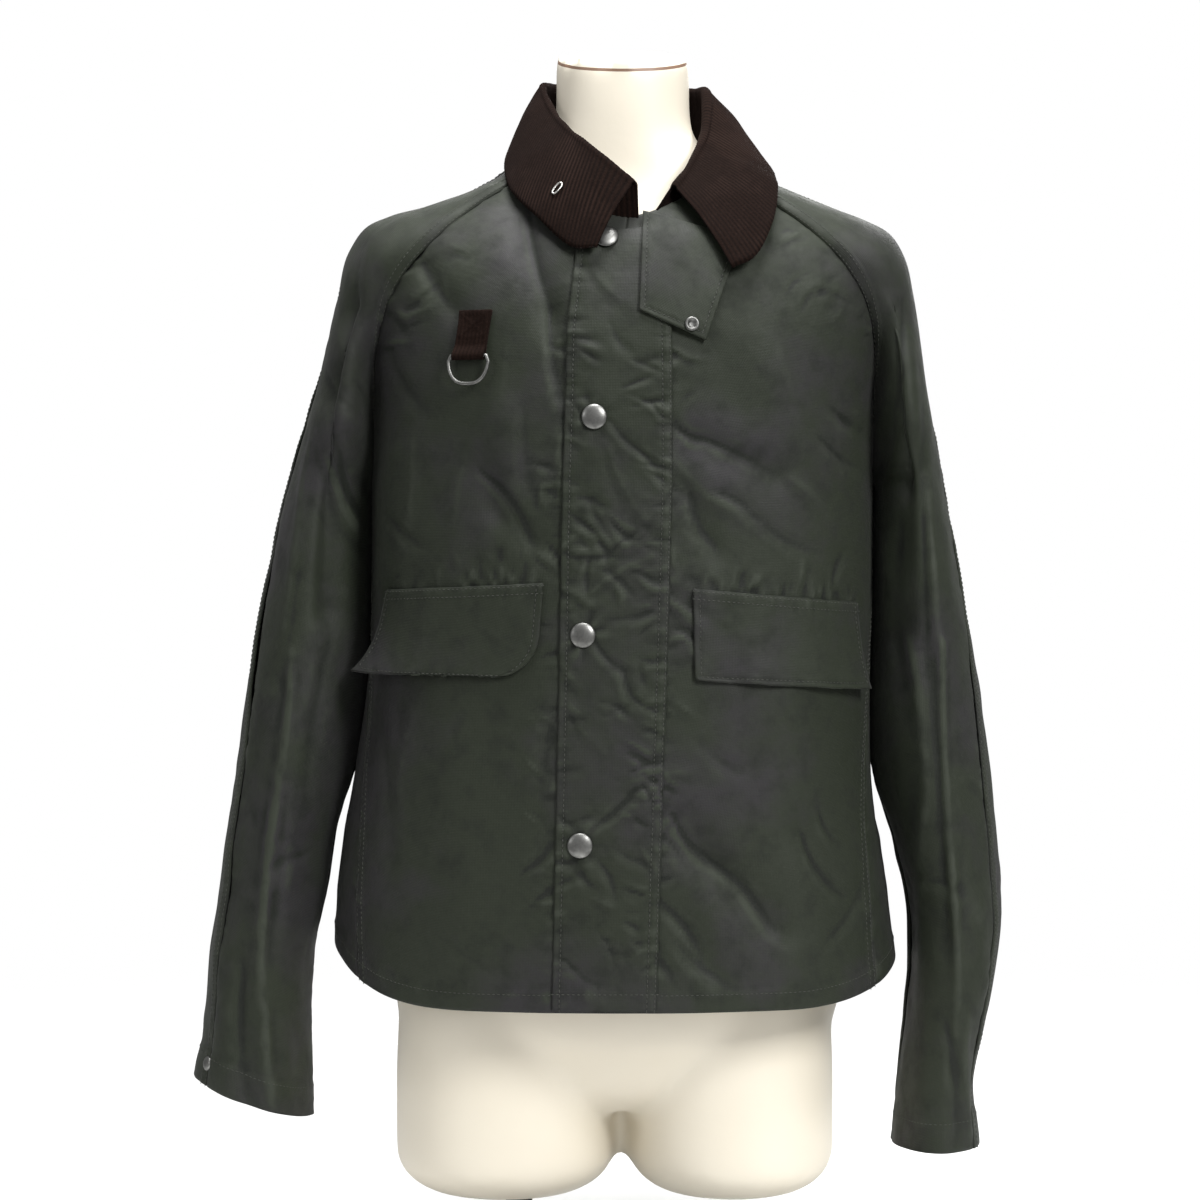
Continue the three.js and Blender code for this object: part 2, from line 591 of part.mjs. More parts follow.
const spread = (count, from, to) =>
  Array.from({ length: count + 1 }, (_, i) => from + ((to - from) * i) / count);

const fronts = {};
const sleeves = {};
for (const side of [-1, 1]) {
  fronts[side] = folded(plainFront(side), FOLDS["front_" + sideName(side)], side);
  sleeves[side] = folded(plainSleeve(side), FOLDS["sleeve_" + sideName(side)], -side);
}
const back = folded(plainBack, FOLDS.back, -1);

// How far a wall stops short of a seam so that it stays clear of the wall it is sewn to
function seamInset(normalA, normalB) {
  const bend = Math.min(normalA.angleTo(normalB), radians(MOST_BEND));
  return SEAM_GAP * SEAM_SHARE + (WALL / 2) * Math.tan(bend / 2);
}

// Share of a surface's own parameter that is a given distance at one end
function parameterFor(surface, a, b, distance, alongFirst) {
  const step = 0.002;
  const next = alongFirst ? surface(a + step, b) : surface(a, b + step);
  return (distance * step) / Math.max(surface(a, b).distanceTo(next), 1e-6);
}

function frontPanel(side) {
  const surface = fronts[side];
  const vs = [
    ...spread(FRONT_GRID.lower, 0, 1).slice(0, -1),
    ...spread(FRONT_GRID.upper, 1, 2),
  ];
  const points = vs.map((v) => {
    const mine = normalOf(surface, 0.995, Math.min(v, 1.995)).multiplyScalar(side);
    const other =
      v > 1
        ? normalOf(sleeves[side], 0.01, Math.max(2 - v, 0.01)).multiplyScalar(-side)
        : normalOf(back, side * 0.99, v).multiplyScalar(-1);
    const end = 1 - parameterFor(surface, 0.99, v, seamInset(mine, other), true);
    const start = parameterFor(surface, 0, v, SEAM_GAP, true);
    const top = v === 2 ? parameterFor(surface, 0.5, 1.9, NECK_INSET, false) : 0;
    const row = spread(FRONT_GRID.across, start, end).map((u) => surface(u, v - top));
    return side > 0 ? row : row.reverse();
  });
  return wallOver(points, WALL);
}

function backPanel() {
  const vs = [...spread(BACK_GRID.lower, 0, 1).slice(0, -1), ...spread(BACK_GRID.upper, 1, 2)];
  const points = vs.map((v) => {
    const ends = [-1, 1].map((side) => {
      const mine = normalOf(back, side * 0.995, Math.min(v, 1.995)).multiplyScalar(-1);
      const other =
        v > 1
          ? normalOf(sleeves[side], 0.99, Math.max(2 - v, 0.01)).multiplyScalar(-side)
          : normalOf(fronts[side], 0.99, v).multiplyScalar(side);
      return side * (1 - parameterFor(back, side * 0.99, v, seamInset(mine, other), true));
    });
    const top = v === 2 ? parameterFor(back, 0.3, 1.9, NECK_INSET, false) : 0;
    return spread(BACK_GRID.across, ends[1], ends[0]).map((u) => back(u, v - top));
  });
  return wallOver(points, WALL);
}

// The overarm seam lies on the shoulder and turns to the front of the arm below it
const overarmShare = (t) =>
  0.5 - OVERARM_TURN.share * ease((t - OVERARM_TURN.start) / OVERARM_TURN.length);

function sleevePanel(side, part) {
  const surface = sleeves[side];
  const ts = [
    ...spread(SLEEVE_GRID.upper, 0, 1).slice(0, -1),
    ...spread(SLEEVE_GRID.lower, 1, 2),
  ];
  const points = ts.map((t) => {
    const edge = part === "front" ? 0 : 1;
    const inward = part === "front" ? 1 : -1;
    const probe = edge + inward * 0.01;
    let inset = SEAM_GAP * 1.5;
    if (t < 1) {
      const panel = part === "front" ? fronts[side] : back;
      const panelU = part === "front" ? 0.99 : side * 0.99;
      const facing = part === "front" ? side : -1;
      const mine = normalOf(surface, probe, Math.max(t, 0.01)).multiplyScalar(-side);
      const other = normalOf(panel, panelU, Math.min(2 - t, 1.99)).multiplyScalar(facing);
      inset = seamInset(mine, other);
    }
    const from = edge + inward * parameterFor(surface, probe, t, inset, true);
    const over = overarmShare(t);
    const to = over - inward * parameterFor(surface, over, t, SEAM_GAP, true);
    const top = t === 0 ? parameterFor(surface, 0.5, 0.1, NECK_INSET, false) : 0;
    const row = spread(SLEEVE_GRID.across, from, to).map((s) => surface(s, t + top));
    return side < 0 === (part === "front") ? row : row.reverse();
  });
  return wallOver(points, WALL);
}

add("front_right", frontPanel(-1), CLOTH_GREEN, 0.72);
add("front_left", frontPanel(1), CLOTH_GREEN, 0.72);
add("back", backPanel(), CLOTH_GREEN, 0.72);
for (const side of [-1, 1]) {
  for (const part of ["front", "back"]) {
    add(`sleeve_${sideName(side)}_${part}`, sleevePanel(side, part), CLOTH_GREEN, 0.72);
  }
}

// Finds the panel parameters under a point of the front view, x across and z up
function underPoint(surface, x, z, u, v) {
  const step = 0.002;
  for (let k = 0; k < 12; k += 1) {
    const here = surface(u, v);
    const alongU = surface(u + step, v).sub(here).divideScalar(step);
    const alongV = surface(u, v + step).sub(here).divideScalar(step);
    const det = alongU.x * alongV.z - alongV.x * alongU.z;
    const dx = x - here.x;
    const dz = z - here.z;
    u += THREE.MathUtils.clamp((dx * alongV.z - dz * alongV.x) / det, -0.2, 0.2);
    v += THREE.MathUtils.clamp((dz * alongU.x - dx * alongU.z) / det, -0.2, 0.2);
  }
  return [u, v];
}

// Point of a front, moved out from under a place in the front view, and its normal
function onFront(side, x, z, lift) {
  const [u, v] = underPoint(fronts[side], x, z, 0.5, 1);
  const normal = normalOf(fronts[side], u, v).multiplyScalar(side);
  return { point: fronts[side](u, v).addScaledVector(normal, lift), normal };
}

const LAID_LIFT = WALL / 2 + LAID_GAP + TRIM_WALL / 2;

// Storm placket: it lies over both fronts, with its middle on their meeting edge
function placketGrid() {
  const halves = [
    { side: -1, share: [1, 0.76, 0.51, 0.27, 0.02] },
    { side: 1, share: [0.02, 0.27, 0.51, 0.76, 1] },
  ];
  return spread(PLACKET_ROWS, 0.004, PLACKET_TOP).map((v) => {
    const row = [];
    for (const half of halves) {
      const surface = fronts[half.side];
      const width = half.side < 0 ? PLACKET_WIDTH / 2 - 1 : PLACKET_WIDTH / 2 + 1;
      const reach = parameterFor(surface, 0.1, v, width, true);
      for (const share of half.share) {
        const normal = normalOf(surface, reach * share, v).multiplyScalar(half.side);
        row.push(surface(reach * share, v).addScaledVector(normal, LAID_LIFT));
      }
    }
    return row;
  });
}

// A patch over a front between four corners of the front view: rows go up, and columns go to +X
function patchGrid(side, corners, columns, rows, lift, shape = (a) => a) {
  return spread(rows, 0, 1).map((b) =>
    spread(columns, 0, 1).map((share) => {
      const a = shape(share, b);
      const low = THREE.MathUtils.lerp(corners.lowRight[0], corners.lowLeft[0], a);
      const lowZ = THREE.MathUtils.lerp(corners.lowRight[1], corners.lowLeft[1], a);
      const high = THREE.MathUtils.lerp(corners.topRight[0], corners.topLeft[0], a);
      const highZ = THREE.MathUtils.lerp(corners.topRight[1], corners.topLeft[1], a);
      const x = THREE.MathUtils.lerp(low, high, b);
      const z = THREE.MathUtils.lerp(lowZ, highZ, b);
      return onFront(side, x, z, lift(a, b)).point;
    }),
  );
}

function turnedTo(geometry, point, normal) {
  const turn = new THREE.Quaternion().setFromUnitVectors(new THREE.Vector3(0, 1, 0), normal);
  geometry.applyQuaternion(turn);
  geometry.translate(point.x, point.y, point.z);
  return geometry;
}

// Press stud cap: a raised ring round a dished middle, its axis along the normal
function studCap(diameter, height) {
  const r = diameter / 2;
  const outline = [
    [0, 0],
    [r, 0],
    [r, height * 0.45],
    [r * 0.88, height],
    [r * 0.62, height * 0.9],
    [r * 0.5, height * 0.35],
    [0, height * 0.45],
  ];
  const points = outline.map(([x, y]) => new THREE.Vector2(x, y));
  return new THREE.LatheGeometry(points, 14);
}

add("placket", wallOver(placketGrid(), TRIM_WALL), CLOTH_GREEN, 0.72);

for (const [name, flap] of Object.entries(FLAPS)) {
  const edgeLift = (a, b) => {
    const outer = flap.side < 0 ? 1 - a : a;
    return LAID_LIFT + flap.lift * (1 - b) ** 1.5 + flap.cornerLift * (1 - b) * outer ** 3;
  };
  const roundCorner = (a, b) => {
    const below = Math.max(0, 1 - b / flap.cornerUp);
    const cut = flap.cornerAcross * (1 - Math.sqrt(1 - below ** 2));
    return flap.side < 0 ? a * (1 - cut) : cut + a * (1 - cut);
  };
  const { across: columns, up: rows } = FLAP_GRID;
  const grid = patchGrid(flap.side, flap, columns, rows, edgeLift, roundCorner);
  grid.forEach((row, j) =>
    row.forEach((point, i) => {
      const outer = flap.side < 0 ? 1 - i / columns : i / columns;
      const swing = ease((outer - flap.flareFrom) / (1 - flap.flareFrom));
      point.x += flap.side * flap.flare * (1 - j / rows) ** 2 * swing;
    }),
  );
  add(name, wallOver(grid, TRIM_WALL), CLOTH_GREEN, 0.72);
}

// Collar: the stand rises from the neck seam to the roll line, and the fall comes down outside it
function collarSurface() {
  const line = (name) => curveThrough(COLLAR.map((row) => new THREE.Vector3(...row[name])));
  const seam = line("seam");
  const roll = line("roll");
  const edge = line("edge");
  return (a, w) => {
    const top = roll.getPoint(a);
    const end = edge.getPoint(a);
    const out = end.clone().sub(top).setZ(0).normalize();
    if (w <= STAND_SHARE) {
      const low = seam.getPoint(a);
      low.z -= SEAM_DROP;
      return low.lerp(top, w / STAND_SHARE);
    }
    if (w <= FALL_START) {
      const turn = ((w - STAND_SHARE) / (FALL_START - STAND_SHARE)) * Math.PI;
      return top
        .addScaledVector(out, (ROLL_WIDTH / 2) * (1 - Math.cos(turn)))
        .add(new THREE.Vector3(0, 0, (ROLL_WIDTH / 2) * Math.sin(turn)));
    }
    const share = (w - FALL_START) / (1 - FALL_START);
    const start = top.addScaledVector(out, ROLL_WIDTH);
    const fall = end.clone().sub(start);
    const level = new THREE.Vector3(-out.y, out.x, 0);
    const raised = fall.clone().cross(level).normalize();
    if (raised.dot(out) < 0) raised.negate();
    return start
      .addScaledVector(fall, share)
      .addScaledVector(raised, COLLAR_BULGE * Math.sin(Math.PI * share));
  };
}

const collar = collarSurface();
const collarShares = [0, 0.17, STAND_SHARE, 0.38, FALL_START, 0.52, 0.64, 0.76, 0.88, 1];
const collarGrid = spread(COLLAR_STEPS, 0, 1).map((a) => collarShares.map((w) => collar(a, w)));
add("collar", wallOver(collarGrid, WALL), CORDUROY_BROWN, 0.9);

// Throat tab from under the left leaf, over the placket and the left front
const tabLift = (a, b) => {
  const { lowRight, lowLeft, slant, stepAt, stepLength, stepDown } = THROAT_TAB;
  const x = lowRight[0] + (lowLeft[0] - lowRight[0]) * a + slant * b;
  return LAID_LIFT + TRIM_WALL + LAID_GAP - stepDown * ease((x - stepAt) / stepLength);
};
const tabGrid = patchGrid(1, THROAT_TAB, TAB_GRID.across, TAB_GRID.up, tabLift);
add("throat_tab", wallOver(tabGrid, TRIM_WALL), CLOTH_GREEN, 0.72);

// Ring's straight bar, held in the strap's loop: its middle, the way along it and out of the front
const barLift = WALL / 2 + LAID_GAP + STRAP_WALL / 2 + LOOP_RADIUS;
const bar = onFront(-1, RING_STRAP.barX, RING_STRAP.barZ, barLift);
const barOut = new THREE.Vector3(bar.normal.x, bar.normal.y, 0).normalize();
const barAlong = new THREE.Vector3(-barOut.y, barOut.x, 0);

// Strap: the back ply lies on the front, loops under the bar, and the front ply goes back up
function strapGrid() {
  const front = STRAP_WALL + LAID_GAP - LOOP_RADIUS;
  const profile = [
    [RING_STRAP.length, -LOOP_RADIUS],
    [RING_STRAP.length / 2, -LOOP_RADIUS],
    ...spread(8, 0, Math.PI).map((turn) => [
      -LOOP_RADIUS * Math.sin(turn),
      -LOOP_RADIUS * Math.cos(turn),
    ]),
    [4, (LOOP_RADIUS + front) / 2],
    [8, front],
    [RING_STRAP.length / 2, front],
    [RING_STRAP.length, front],
  ];
  return spread(4, -RING_STRAP.width / 2, RING_STRAP.width / 2).map((e) =>
    profile.map(([up, out]) => {
      const x = RING_STRAP.barX + e * barAlong.x + up * RING_STRAP.lean;
      return onFront(-1, x, RING_STRAP.barZ + up, barLift + out).point;
    }),
  );
}
add("ring_strap", wallOver(strapGrid(), STRAP_WALL), CORDUROY_BROWN, 0.9);

// Round wire bent along a flat closed path
function bentWire(path, normal, radius, sides) {
  const positions = [];
  const index = [];
  const count = path.length;
  path.forEach((point, j) => {
    const tangent = path[(j + 1) % count].clone().sub(path[(j + count - 1) % count]).normalize();
    const inward = normal.clone().cross(tangent);
    for (let i = 0; i < sides; i += 1) {
      const turn = (2 * Math.PI * i) / sides;
      const place = point
        .clone()
        .addScaledVector(inward, radius * Math.cos(turn))
        .addScaledVector(normal, radius * Math.sin(turn));
      positions.push(...place.toArray());
      const a = j * sides + i;
      const b = j * sides + ((i + 1) % sides);
      const c = ((j + 1) % count) * sides + i;
      const d = ((j + 1) % count) * sides + ((i + 1) % sides);
      index.push(a, d, c, a, b, d);
    }
  });
  const geometry = new THREE.BufferGeometry();
  geometry.setAttribute("position", new THREE.Float32BufferAttribute(positions, 3));
  geometry.setIndex(index);
  return geometry;
}

function ringWire() {
  const down = barOut.clone().multiplyScalar(Math.sin(radians(RING.tilt)));
  down.z = -Math.cos(radians(RING.tilt));
  const half = RING.width / 2 - RING.wire / 2;
  const drop = RING.height - RING.wire;
  const outline = [
    ...spread(4, -half + 2, half - 2).map((e) => [e, 0]),
    ...spread(14, 0.16, Math.PI - 0.16).map((turn) => [
      half * signedPower(Math.cos(turn), 0.75),
      drop * Math.sin(turn) ** 0.85,
    ]),
  ];
  const path = outline.map(([e, d]) =>
    bar.point.clone().addScaledVector(barAlong, e).addScaledVector(down, d),
  );
  return bentWire(path, barAlong.clone().cross(down), RING.wire / 2, 8);
}
add("d_ring", ringWire(), METAL_GREY, 0.35, 1);

// Studs on the placket, the throat tab and the right cuff
const studLift = LAID_LIFT + TRIM_WALL / 2 + STUD_GAP;
STUDS.forEach(({ x, z }, i) => {
  const { point, normal } = onFront(-1, x, z, studLift);
  add(`stud_${i + 1}`, turnedTo(studCap(STUD_DIAMETER, STUD_HEIGHT), point, normal), METAL_GREY, 0.4, 1);
});
const tabStud = onFront(1, TAB_STUD.x, TAB_STUD.z, studLift + TRIM_WALL + LAID_GAP);
const smallStud = () => studCap(SMALL_STUD.diameter, SMALL_STUD.height);
add("tab_stud", turnedTo(smallStud(), tabStud.point, tabStud.normal), METAL_GREY, 0.4, 1);

function onSurface(surface, x, z, a, b, outward, lift) {
  const [foundA, foundB] = underPoint(surface, x, z, a, b);
  const normal = normalOf(surface, foundA, foundB).multiplyScalar(outward);
  return { point: surface(foundA, foundB).addScaledVector(normal, lift), normal };
}
const cuffStud = onSurface(sleeves[-1], CUFF_STUD.x, CUFF_STUD.z, 0.3, 1.85, 1, WALL / 2 + STUD_GAP);
add("cuff_stud", turnedTo(smallStud(), cuffStud.point, cuffStud.normal), METAL_GREY, 0.4, 1);

// Small hook sewn on the right leaf: a flattened wire bow
function hookWire() {
  const { x, z, length, width, lean, wire } = COLLAR_HOOK;
  const { point, normal } = onSurface(collar, x, z, 0.12, 0.7, -1, WALL / 2 + wire / 2 + 2 * STUD_GAP);
  const along = new THREE.Vector3(Math.cos(radians(lean)), 0, Math.sin(radians(lean)));
  along.addScaledVector(normal, -along.dot(normal)).normalize();
  const aside = normal.clone().cross(along);
  const path = spread(15, 0, (2 * Math.PI * 15) / 16).map((turn) =>
    point
      .clone()
      .addScaledVector(along, (length / 2) * signedPower(Math.cos(turn), 0.8))
      .addScaledVector(aside, (width / 2) * signedPower(Math.sin(turn), 0.8)),
  );
  return bentWire(path, normal, wire / 2, 6);
}
add("collar_hook", hookWire(), METAL_GREY, 0.4, 1);

// Solid through level rings, closed by a fan at the bottom and the top
function ringSolid(rings, segments, topSlope) {
  const positions = [];
  const index = [];
  rings.forEach((row, j) => {
    for (let i = 0; i < segments; i += 1) {
      const turn = (2 * Math.PI * i) / segments;
      const y = row.y + row.depth * signedPower(Math.sin(turn), 2 / FORM_ROUNDNESS);
      const x = row.x + row.width * signedPower(Math.cos(turn), 2 / FORM_ROUNDNESS);
      const slope = j === rings.length - 1 ? topSlope * (y - row.y - row.depth) : 0;
      positions.push(x, y, row.z + slope);
    }
  });
  const top = rings[rings.length - 1];
  const low = positions.push(rings[0].x, rings[0].y, rings[0].z) / 3 - 1;
  const high = positions.push(top.x, top.y, top.z - topSlope * top.depth) / 3 - 1;
  const start = (rings.length - 1) * segments;
  for (let i = 0; i < segments; i += 1) {
    const next = (i + 1) % segments;
    for (let j = 0; j < rings.length - 1; j += 1) {
      const a = j * segments;
      index.push(a + i, a + next, a + segments + next, a + i, a + segments + next, a + segments + i);
    }
    index.push(low, next, i, high, start + i, start + next);
  }
  const geometry = new THREE.BufferGeometry();
  geometry.setAttribute("position", new THREE.Float32BufferAttribute(positions, 3));
  geometry.setIndex(index);
  return geometry;
}

function toManifold(source) {
  const plain = source.clone();
  plain.deleteAttribute("normal");
  plain.deleteAttribute("uv");
  const merged = mergeVertices(plain, 1e-4);
  return new wasm.Manifold(
    new wasm.Mesh({
      numProp: 3,
      vertProperties: new Float32Array(merged.attributes.position.array),
      triVerts: new Uint32Array(merged.index.array),
    }),
  );
}

function toGeometry(solid) {
  const { vertProperties, triVerts } = solid.getMesh();
  const geometry = new THREE.BufferGeometry();
  geometry.setAttribute("position", new THREE.Float32BufferAttribute(vertProperties, 3));
  geometry.setIndex(Array.from(triVerts));
  return geometry;
}

// Cylinder standing on a height, its axis along Z
function post(diameter, low, high, x, segments) {
  const geometry = new THREE.CylinderGeometry(diameter / 2, diameter / 2, high - low, segments);
  geometry.rotateX(Math.PI / 2);
  geometry.translate(x, 0, (low + high) / 2);
  return geometry;
}

// Tube standing on a height: a closed outline turned about its axis
function sleeveTube(innerDiameter, outerDiameter, low, high, x) {
  const outline = [
    [innerDiameter / 2, low],
    [outerDiameter / 2, low],
    [outerDiameter / 2, high],
    [innerDiameter / 2, high],
    [innerDiameter / 2, low],
  ];
  const geometry = new THREE.LatheGeometry(outline.map(([r, z]) => new THREE.Vector2(r, z)), 20);
  geometry.rotateX(Math.PI / 2);
  geometry.translate(x, 0, 0);
  return geometry;
}

// Dress form: torso and neck joined to two short rounded thighs, with a bore for the stand
let form = toManifold(ringSolid(FORM_RINGS, 26, NECK_TOP_SLOPE));
for (const thigh of THIGHS) {
  const rings = THIGH_ROUNDING.map(({ z, share }) => ({
    z,
    x: thigh.x,
    y: thigh.y,
    width: thigh.width * share,
    depth: thigh.depth * share,
  }));
  form = form.add(toManifold(ringSolid(rings, 22, 0)));
}
const boreDiameter = SOCKET.diameter + 2 * SEAM_GAP;
form = form.subtract(toManifold(post(boreDiameter, 0, SOCKET.top + SEAM_GAP, ROD.x, 20)));
add("dress_form", toGeometry(form), FORM_CREAM, 0.75);

const rodHole = ROD.diameter + 2 * SEAM_GAP;
add("stand_socket", sleeveTube(rodHole, SOCKET.diameter, SOCKET.low, SOCKET.top, ROD.x), STAND_BLACK, 0.5);
const rodLow = BASE.thickness + SEAM_GAP;
add("stand_rod", post(ROD.diameter, rodLow, SOCKET.top, ROD.x, 20), METAL_GREY, 0.35, 1);
const footTop = rodLow + ROD.footHeight;
add("stand_foot", sleeveTube(rodHole, ROD.footDiameter, rodLow, footTop, ROD.x), METAL_GREY, 0.4, 1);
add("base_plate", post(BASE.diameter, 0, BASE.thickness, BASE.x, 48), METAL_GREY, 0.45, 1);

export default group;
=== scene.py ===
import json
import math

import bpy
import numpy as np
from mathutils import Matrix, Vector

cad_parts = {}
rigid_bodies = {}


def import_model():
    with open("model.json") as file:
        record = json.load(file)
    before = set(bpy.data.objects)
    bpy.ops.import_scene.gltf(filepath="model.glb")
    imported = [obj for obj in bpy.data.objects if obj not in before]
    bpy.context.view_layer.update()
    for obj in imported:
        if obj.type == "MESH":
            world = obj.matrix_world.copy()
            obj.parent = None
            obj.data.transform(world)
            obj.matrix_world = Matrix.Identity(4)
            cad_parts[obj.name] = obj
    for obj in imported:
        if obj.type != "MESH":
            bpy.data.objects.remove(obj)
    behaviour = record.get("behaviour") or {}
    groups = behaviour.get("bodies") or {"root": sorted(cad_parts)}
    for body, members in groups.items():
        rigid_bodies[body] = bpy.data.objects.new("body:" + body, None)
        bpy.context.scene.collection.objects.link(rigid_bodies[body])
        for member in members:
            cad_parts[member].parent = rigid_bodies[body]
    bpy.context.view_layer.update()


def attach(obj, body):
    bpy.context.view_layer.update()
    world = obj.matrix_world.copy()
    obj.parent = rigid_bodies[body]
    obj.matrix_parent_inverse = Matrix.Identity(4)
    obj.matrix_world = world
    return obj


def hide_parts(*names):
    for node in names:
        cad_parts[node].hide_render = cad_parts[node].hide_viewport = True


for leftover in list(bpy.data.objects):
    bpy.data.objects.remove(leftover)
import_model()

# The view: a level camera at chest height, 2.6 m in front, with a plain pale floor and soft light
# from large panels above, behind and at both sides in front, the strongest at the wearer's left.
camera_data = bpy.data.cameras.new("camera")
camera_data.sensor_width = 36
camera_data.lens = 104
camera = bpy.data.objects.new("camera", camera_data)
camera.location = (0.001, -2.6, 0.577)
camera.rotation_euler = (Vector((0.001, 0, 0.502)) - camera.location).to_track_quat("-Z", "Y").to_euler()
bpy.context.collection.objects.link(camera)
bpy.context.scene.camera = camera
bpy.context.scene.view_settings.view_transform = "Standard"


def light_panel(name, place, aim, width, height, power):
    data = bpy.data.lights.new(name, "AREA")
    data.shape = "RECTANGLE"
    data.size = width
    data.size_y = height
    data.energy = power
    panel = bpy.data.objects.new(name, data)
    panel.location = place
    panel.rotation_euler = (Vector(aim) - Vector(place)).to_track_quat("-Z", "Y").to_euler()
    bpy.context.collection.objects.link(panel)


light_panel("key panel", (1.5, -2.0, 2.1), (0, 0, 0.6), 0.7, 1.1, 80)
light_panel("fill panel", (-2.2, -1.5, 1.5), (0, 0, 0.6), 1.0, 1.4, 10)
light_panel("top panel", (0.0, -0.2, 2.4), (0, 0, 0.4), 1.0, 0.9, 60)
light_panel("back panel light", (0.4, 2.4, 1.6), (0, 0, 0.5), 1.6, 1.6, 34)

# the studio's white surround, which lights the object less than it shows
world = bpy.data.worlds.new("studio")
bpy.context.scene.world = world
world.use_nodes = True
nodes, links = world.node_tree.nodes, world.node_tree.links
surround = nodes["Background"]
surround.inputs["Color"].default_value = (1, 1, 1, 1)
surround.inputs["Strength"].default_value = 0.3
backdrop = nodes.new("ShaderNodeBackground")
backdrop.inputs["Color"].default_value = (1, 1, 1, 1)
seen = nodes.new("ShaderNodeMixShader")
links.new(nodes.new("ShaderNodeLightPath").outputs["Is Camera Ray"], seen.inputs["Fac"])
links.new(surround.outputs["Background"], seen.inputs[1])
links.new(backdrop.outputs["Background"], seen.inputs[2])
links.new(seen.outputs["Shader"], nodes["World Output"].inputs["Surface"])


def mesh_object(name, points, faces, smooth=True):
    """A mesh in metres from points in millimetres, in the row frame."""
    mesh = bpy.data.meshes.new(name)
    mesh.from_pydata((np.asarray(points, float).reshape(-1, 3) / 1000).tolist(), [], faces)
    mesh.polygons.foreach_set("use_smooth", [smooth] * len(mesh.polygons))
    mesh.update()
    obj = bpy.data.objects.new(name, mesh)
    bpy.context.collection.objects.link(obj)
    return obj


def set_inputs(node, values):
    for label, value in values.items():
        node.inputs[label].default_value = value


def tree_of(material):
    """A material's nodes, its links, its shader node and the place in the object's own frame."""
    nodes, links = material.node_tree.nodes, material.node_tree.links
    return nodes, links, nodes["Principled BSDF"], nodes.new("ShaderNodeTexCoord").outputs["Object"]


def plain_material(name, color, roughness):
    material = bpy.data.materials.new(name)
    material.use_nodes = True
    shader = material.node_tree.nodes["Principled BSDF"]
    set_inputs(shader, {"Base Color": (*color, 1), "Roughness": roughness})
    return material


def spread_of(nodes, links, value, low, high, to_low, to_high):
    """A value moved from one range to another and kept within it."""
    node = nodes.new("ShaderNodeMapRange")
    links.new(value, node.inputs["Value"])
    set_inputs(node, {"From Min": low, "From Max": high, "To Min": to_low, "To Max": to_high})
    return node.outputs["Result"]


turns = np.linspace(0, 2 * math.pi, 97)[:-1]
floor = mesh_object(
    "floor",
    np.column_stack([2600 * np.cos(turns), 2600 * np.sin(turns), np.zeros(96)]),
    [list(range(96))],
    smooth=False,
)
floor_paint = plain_material("floor paint", (0.9, 0.9, 0.895), 0.8)
nodes, links, shader, where = tree_of(floor_paint)
distance = nodes.new("ShaderNodeVectorMath")
distance.operation = "LENGTH"
links.new(where, distance.inputs[0])
faded = spread_of(nodes, links, distance.outputs["Value"], 0.35, 1.7, 1, 0)
faded.node.interpolation_type = "SMOOTHSTEP"
links.new(faded, shader.inputs["Alpha"])
floor.data.materials.append(floor_paint)


# The dress form: a smooth limbless torso moulded in one piece, with a sloping cap at the neck and two
# short rounded thighs. It is drawn through level rings and its joins are blended.
def table(columns, rows):
    return dict(zip(columns.split(), np.array(rows, float).T))


def smooth_value(column, place):
    """Value of a table's column between its rows, on a smooth line through them."""
    last = len(column) - 1
    place = np.asarray(place, float)
    i = np.clip(np.floor(place).astype(int), 0, last - 1)
    f = place - i

    def at(k):
        return column[np.clip(k, 0, last)]

    slope_in = np.where(i > 0, (at(i + 1) - at(i - 1)) / 2, at(i + 1) - at(i))
    slope_out = np.where(i + 1 < last, (at(i + 2) - at(i)) / 2, at(i + 1) - at(i))
    g = f * f
    h = g * f
    return (
        at(i) * (2 * h - 3 * g + 1)
        + slope_in * (h - 2 * g + f)
        + at(i + 1) * (3 * g - 2 * h)
        + slope_out * (h - g)
    )


def signed_power(value, power):
    return np.sign(value) * np.abs(value) ** power


def eased(x):
    x = np.clip(x, 0, 1)
    return x * x * (3 - 2 * x)


def bell(distance, width):
    """One on a line, fading smoothly to nothing about two widths away."""
    return np.exp(-((distance / width) ** 2))


FORM_RINGS = table(
    "z width depth x y",
    [
        (126, 26, 62, -3, 2), (140, 70, 82, -3, 2), (166, 130, 98, -3, 2), (200, 166, 112, -2, 2),
        (300, 160, 109, -1, 2), (400, 149, 101, 0, 2), (450, 147, 99, 0, 1), (550, 157, 106, 0, 0),
        (630, 164, 108, 1, 0), (690, 165, 101, 1, 1), (730, 163, 90, 1, 2), (764, 157, 76, 2, 3),
        (785, 143, 64, 3, 3), (799, 124, 56, 3, 3), (809, 107, 52, 3, 2), (819, 89, 50, 3, 2),
        (831, 68, 49, 3, 1), (843, 57, 48, 2, 0), (860, 50.5, 48, 2, -1), (920, 50, 48, 2, -3),
    ],
)
THIGH_RINGS = table(
    "z share",
    [(58, 0.02), (59.5, 0.42), (63, 0.68), (69, 0.84), (78, 0.95), (92, 1), (150, 1), (215, 0.96)],
)
THIGHS = table("x y width depth", [(-86, 1, 82, 102), (83, 1, 77, 100)])
STANCE_X = 16  # the garment's middle line in the row frame
NECK_SLOPE = 0.26


def ring_faces(rows, segments, closed=False):
    """Faces between rings of points. Closed joins the last ring to the first, and otherwise the two
    end rings are filled."""
    faces = []
    for j in range(rows if closed else rows - 1):
        low, high = j * segments, (j + 1) % rows * segments
        for i in range(segments):
            k = (i + 1) % segments
            faces.append((low + i, low + k, high + k, high + i))
    if not closed:
        faces.append(list(range(segments))[::-1])
        faces.append([(rows - 1) * segments + i for i in range(segments)])
    return faces


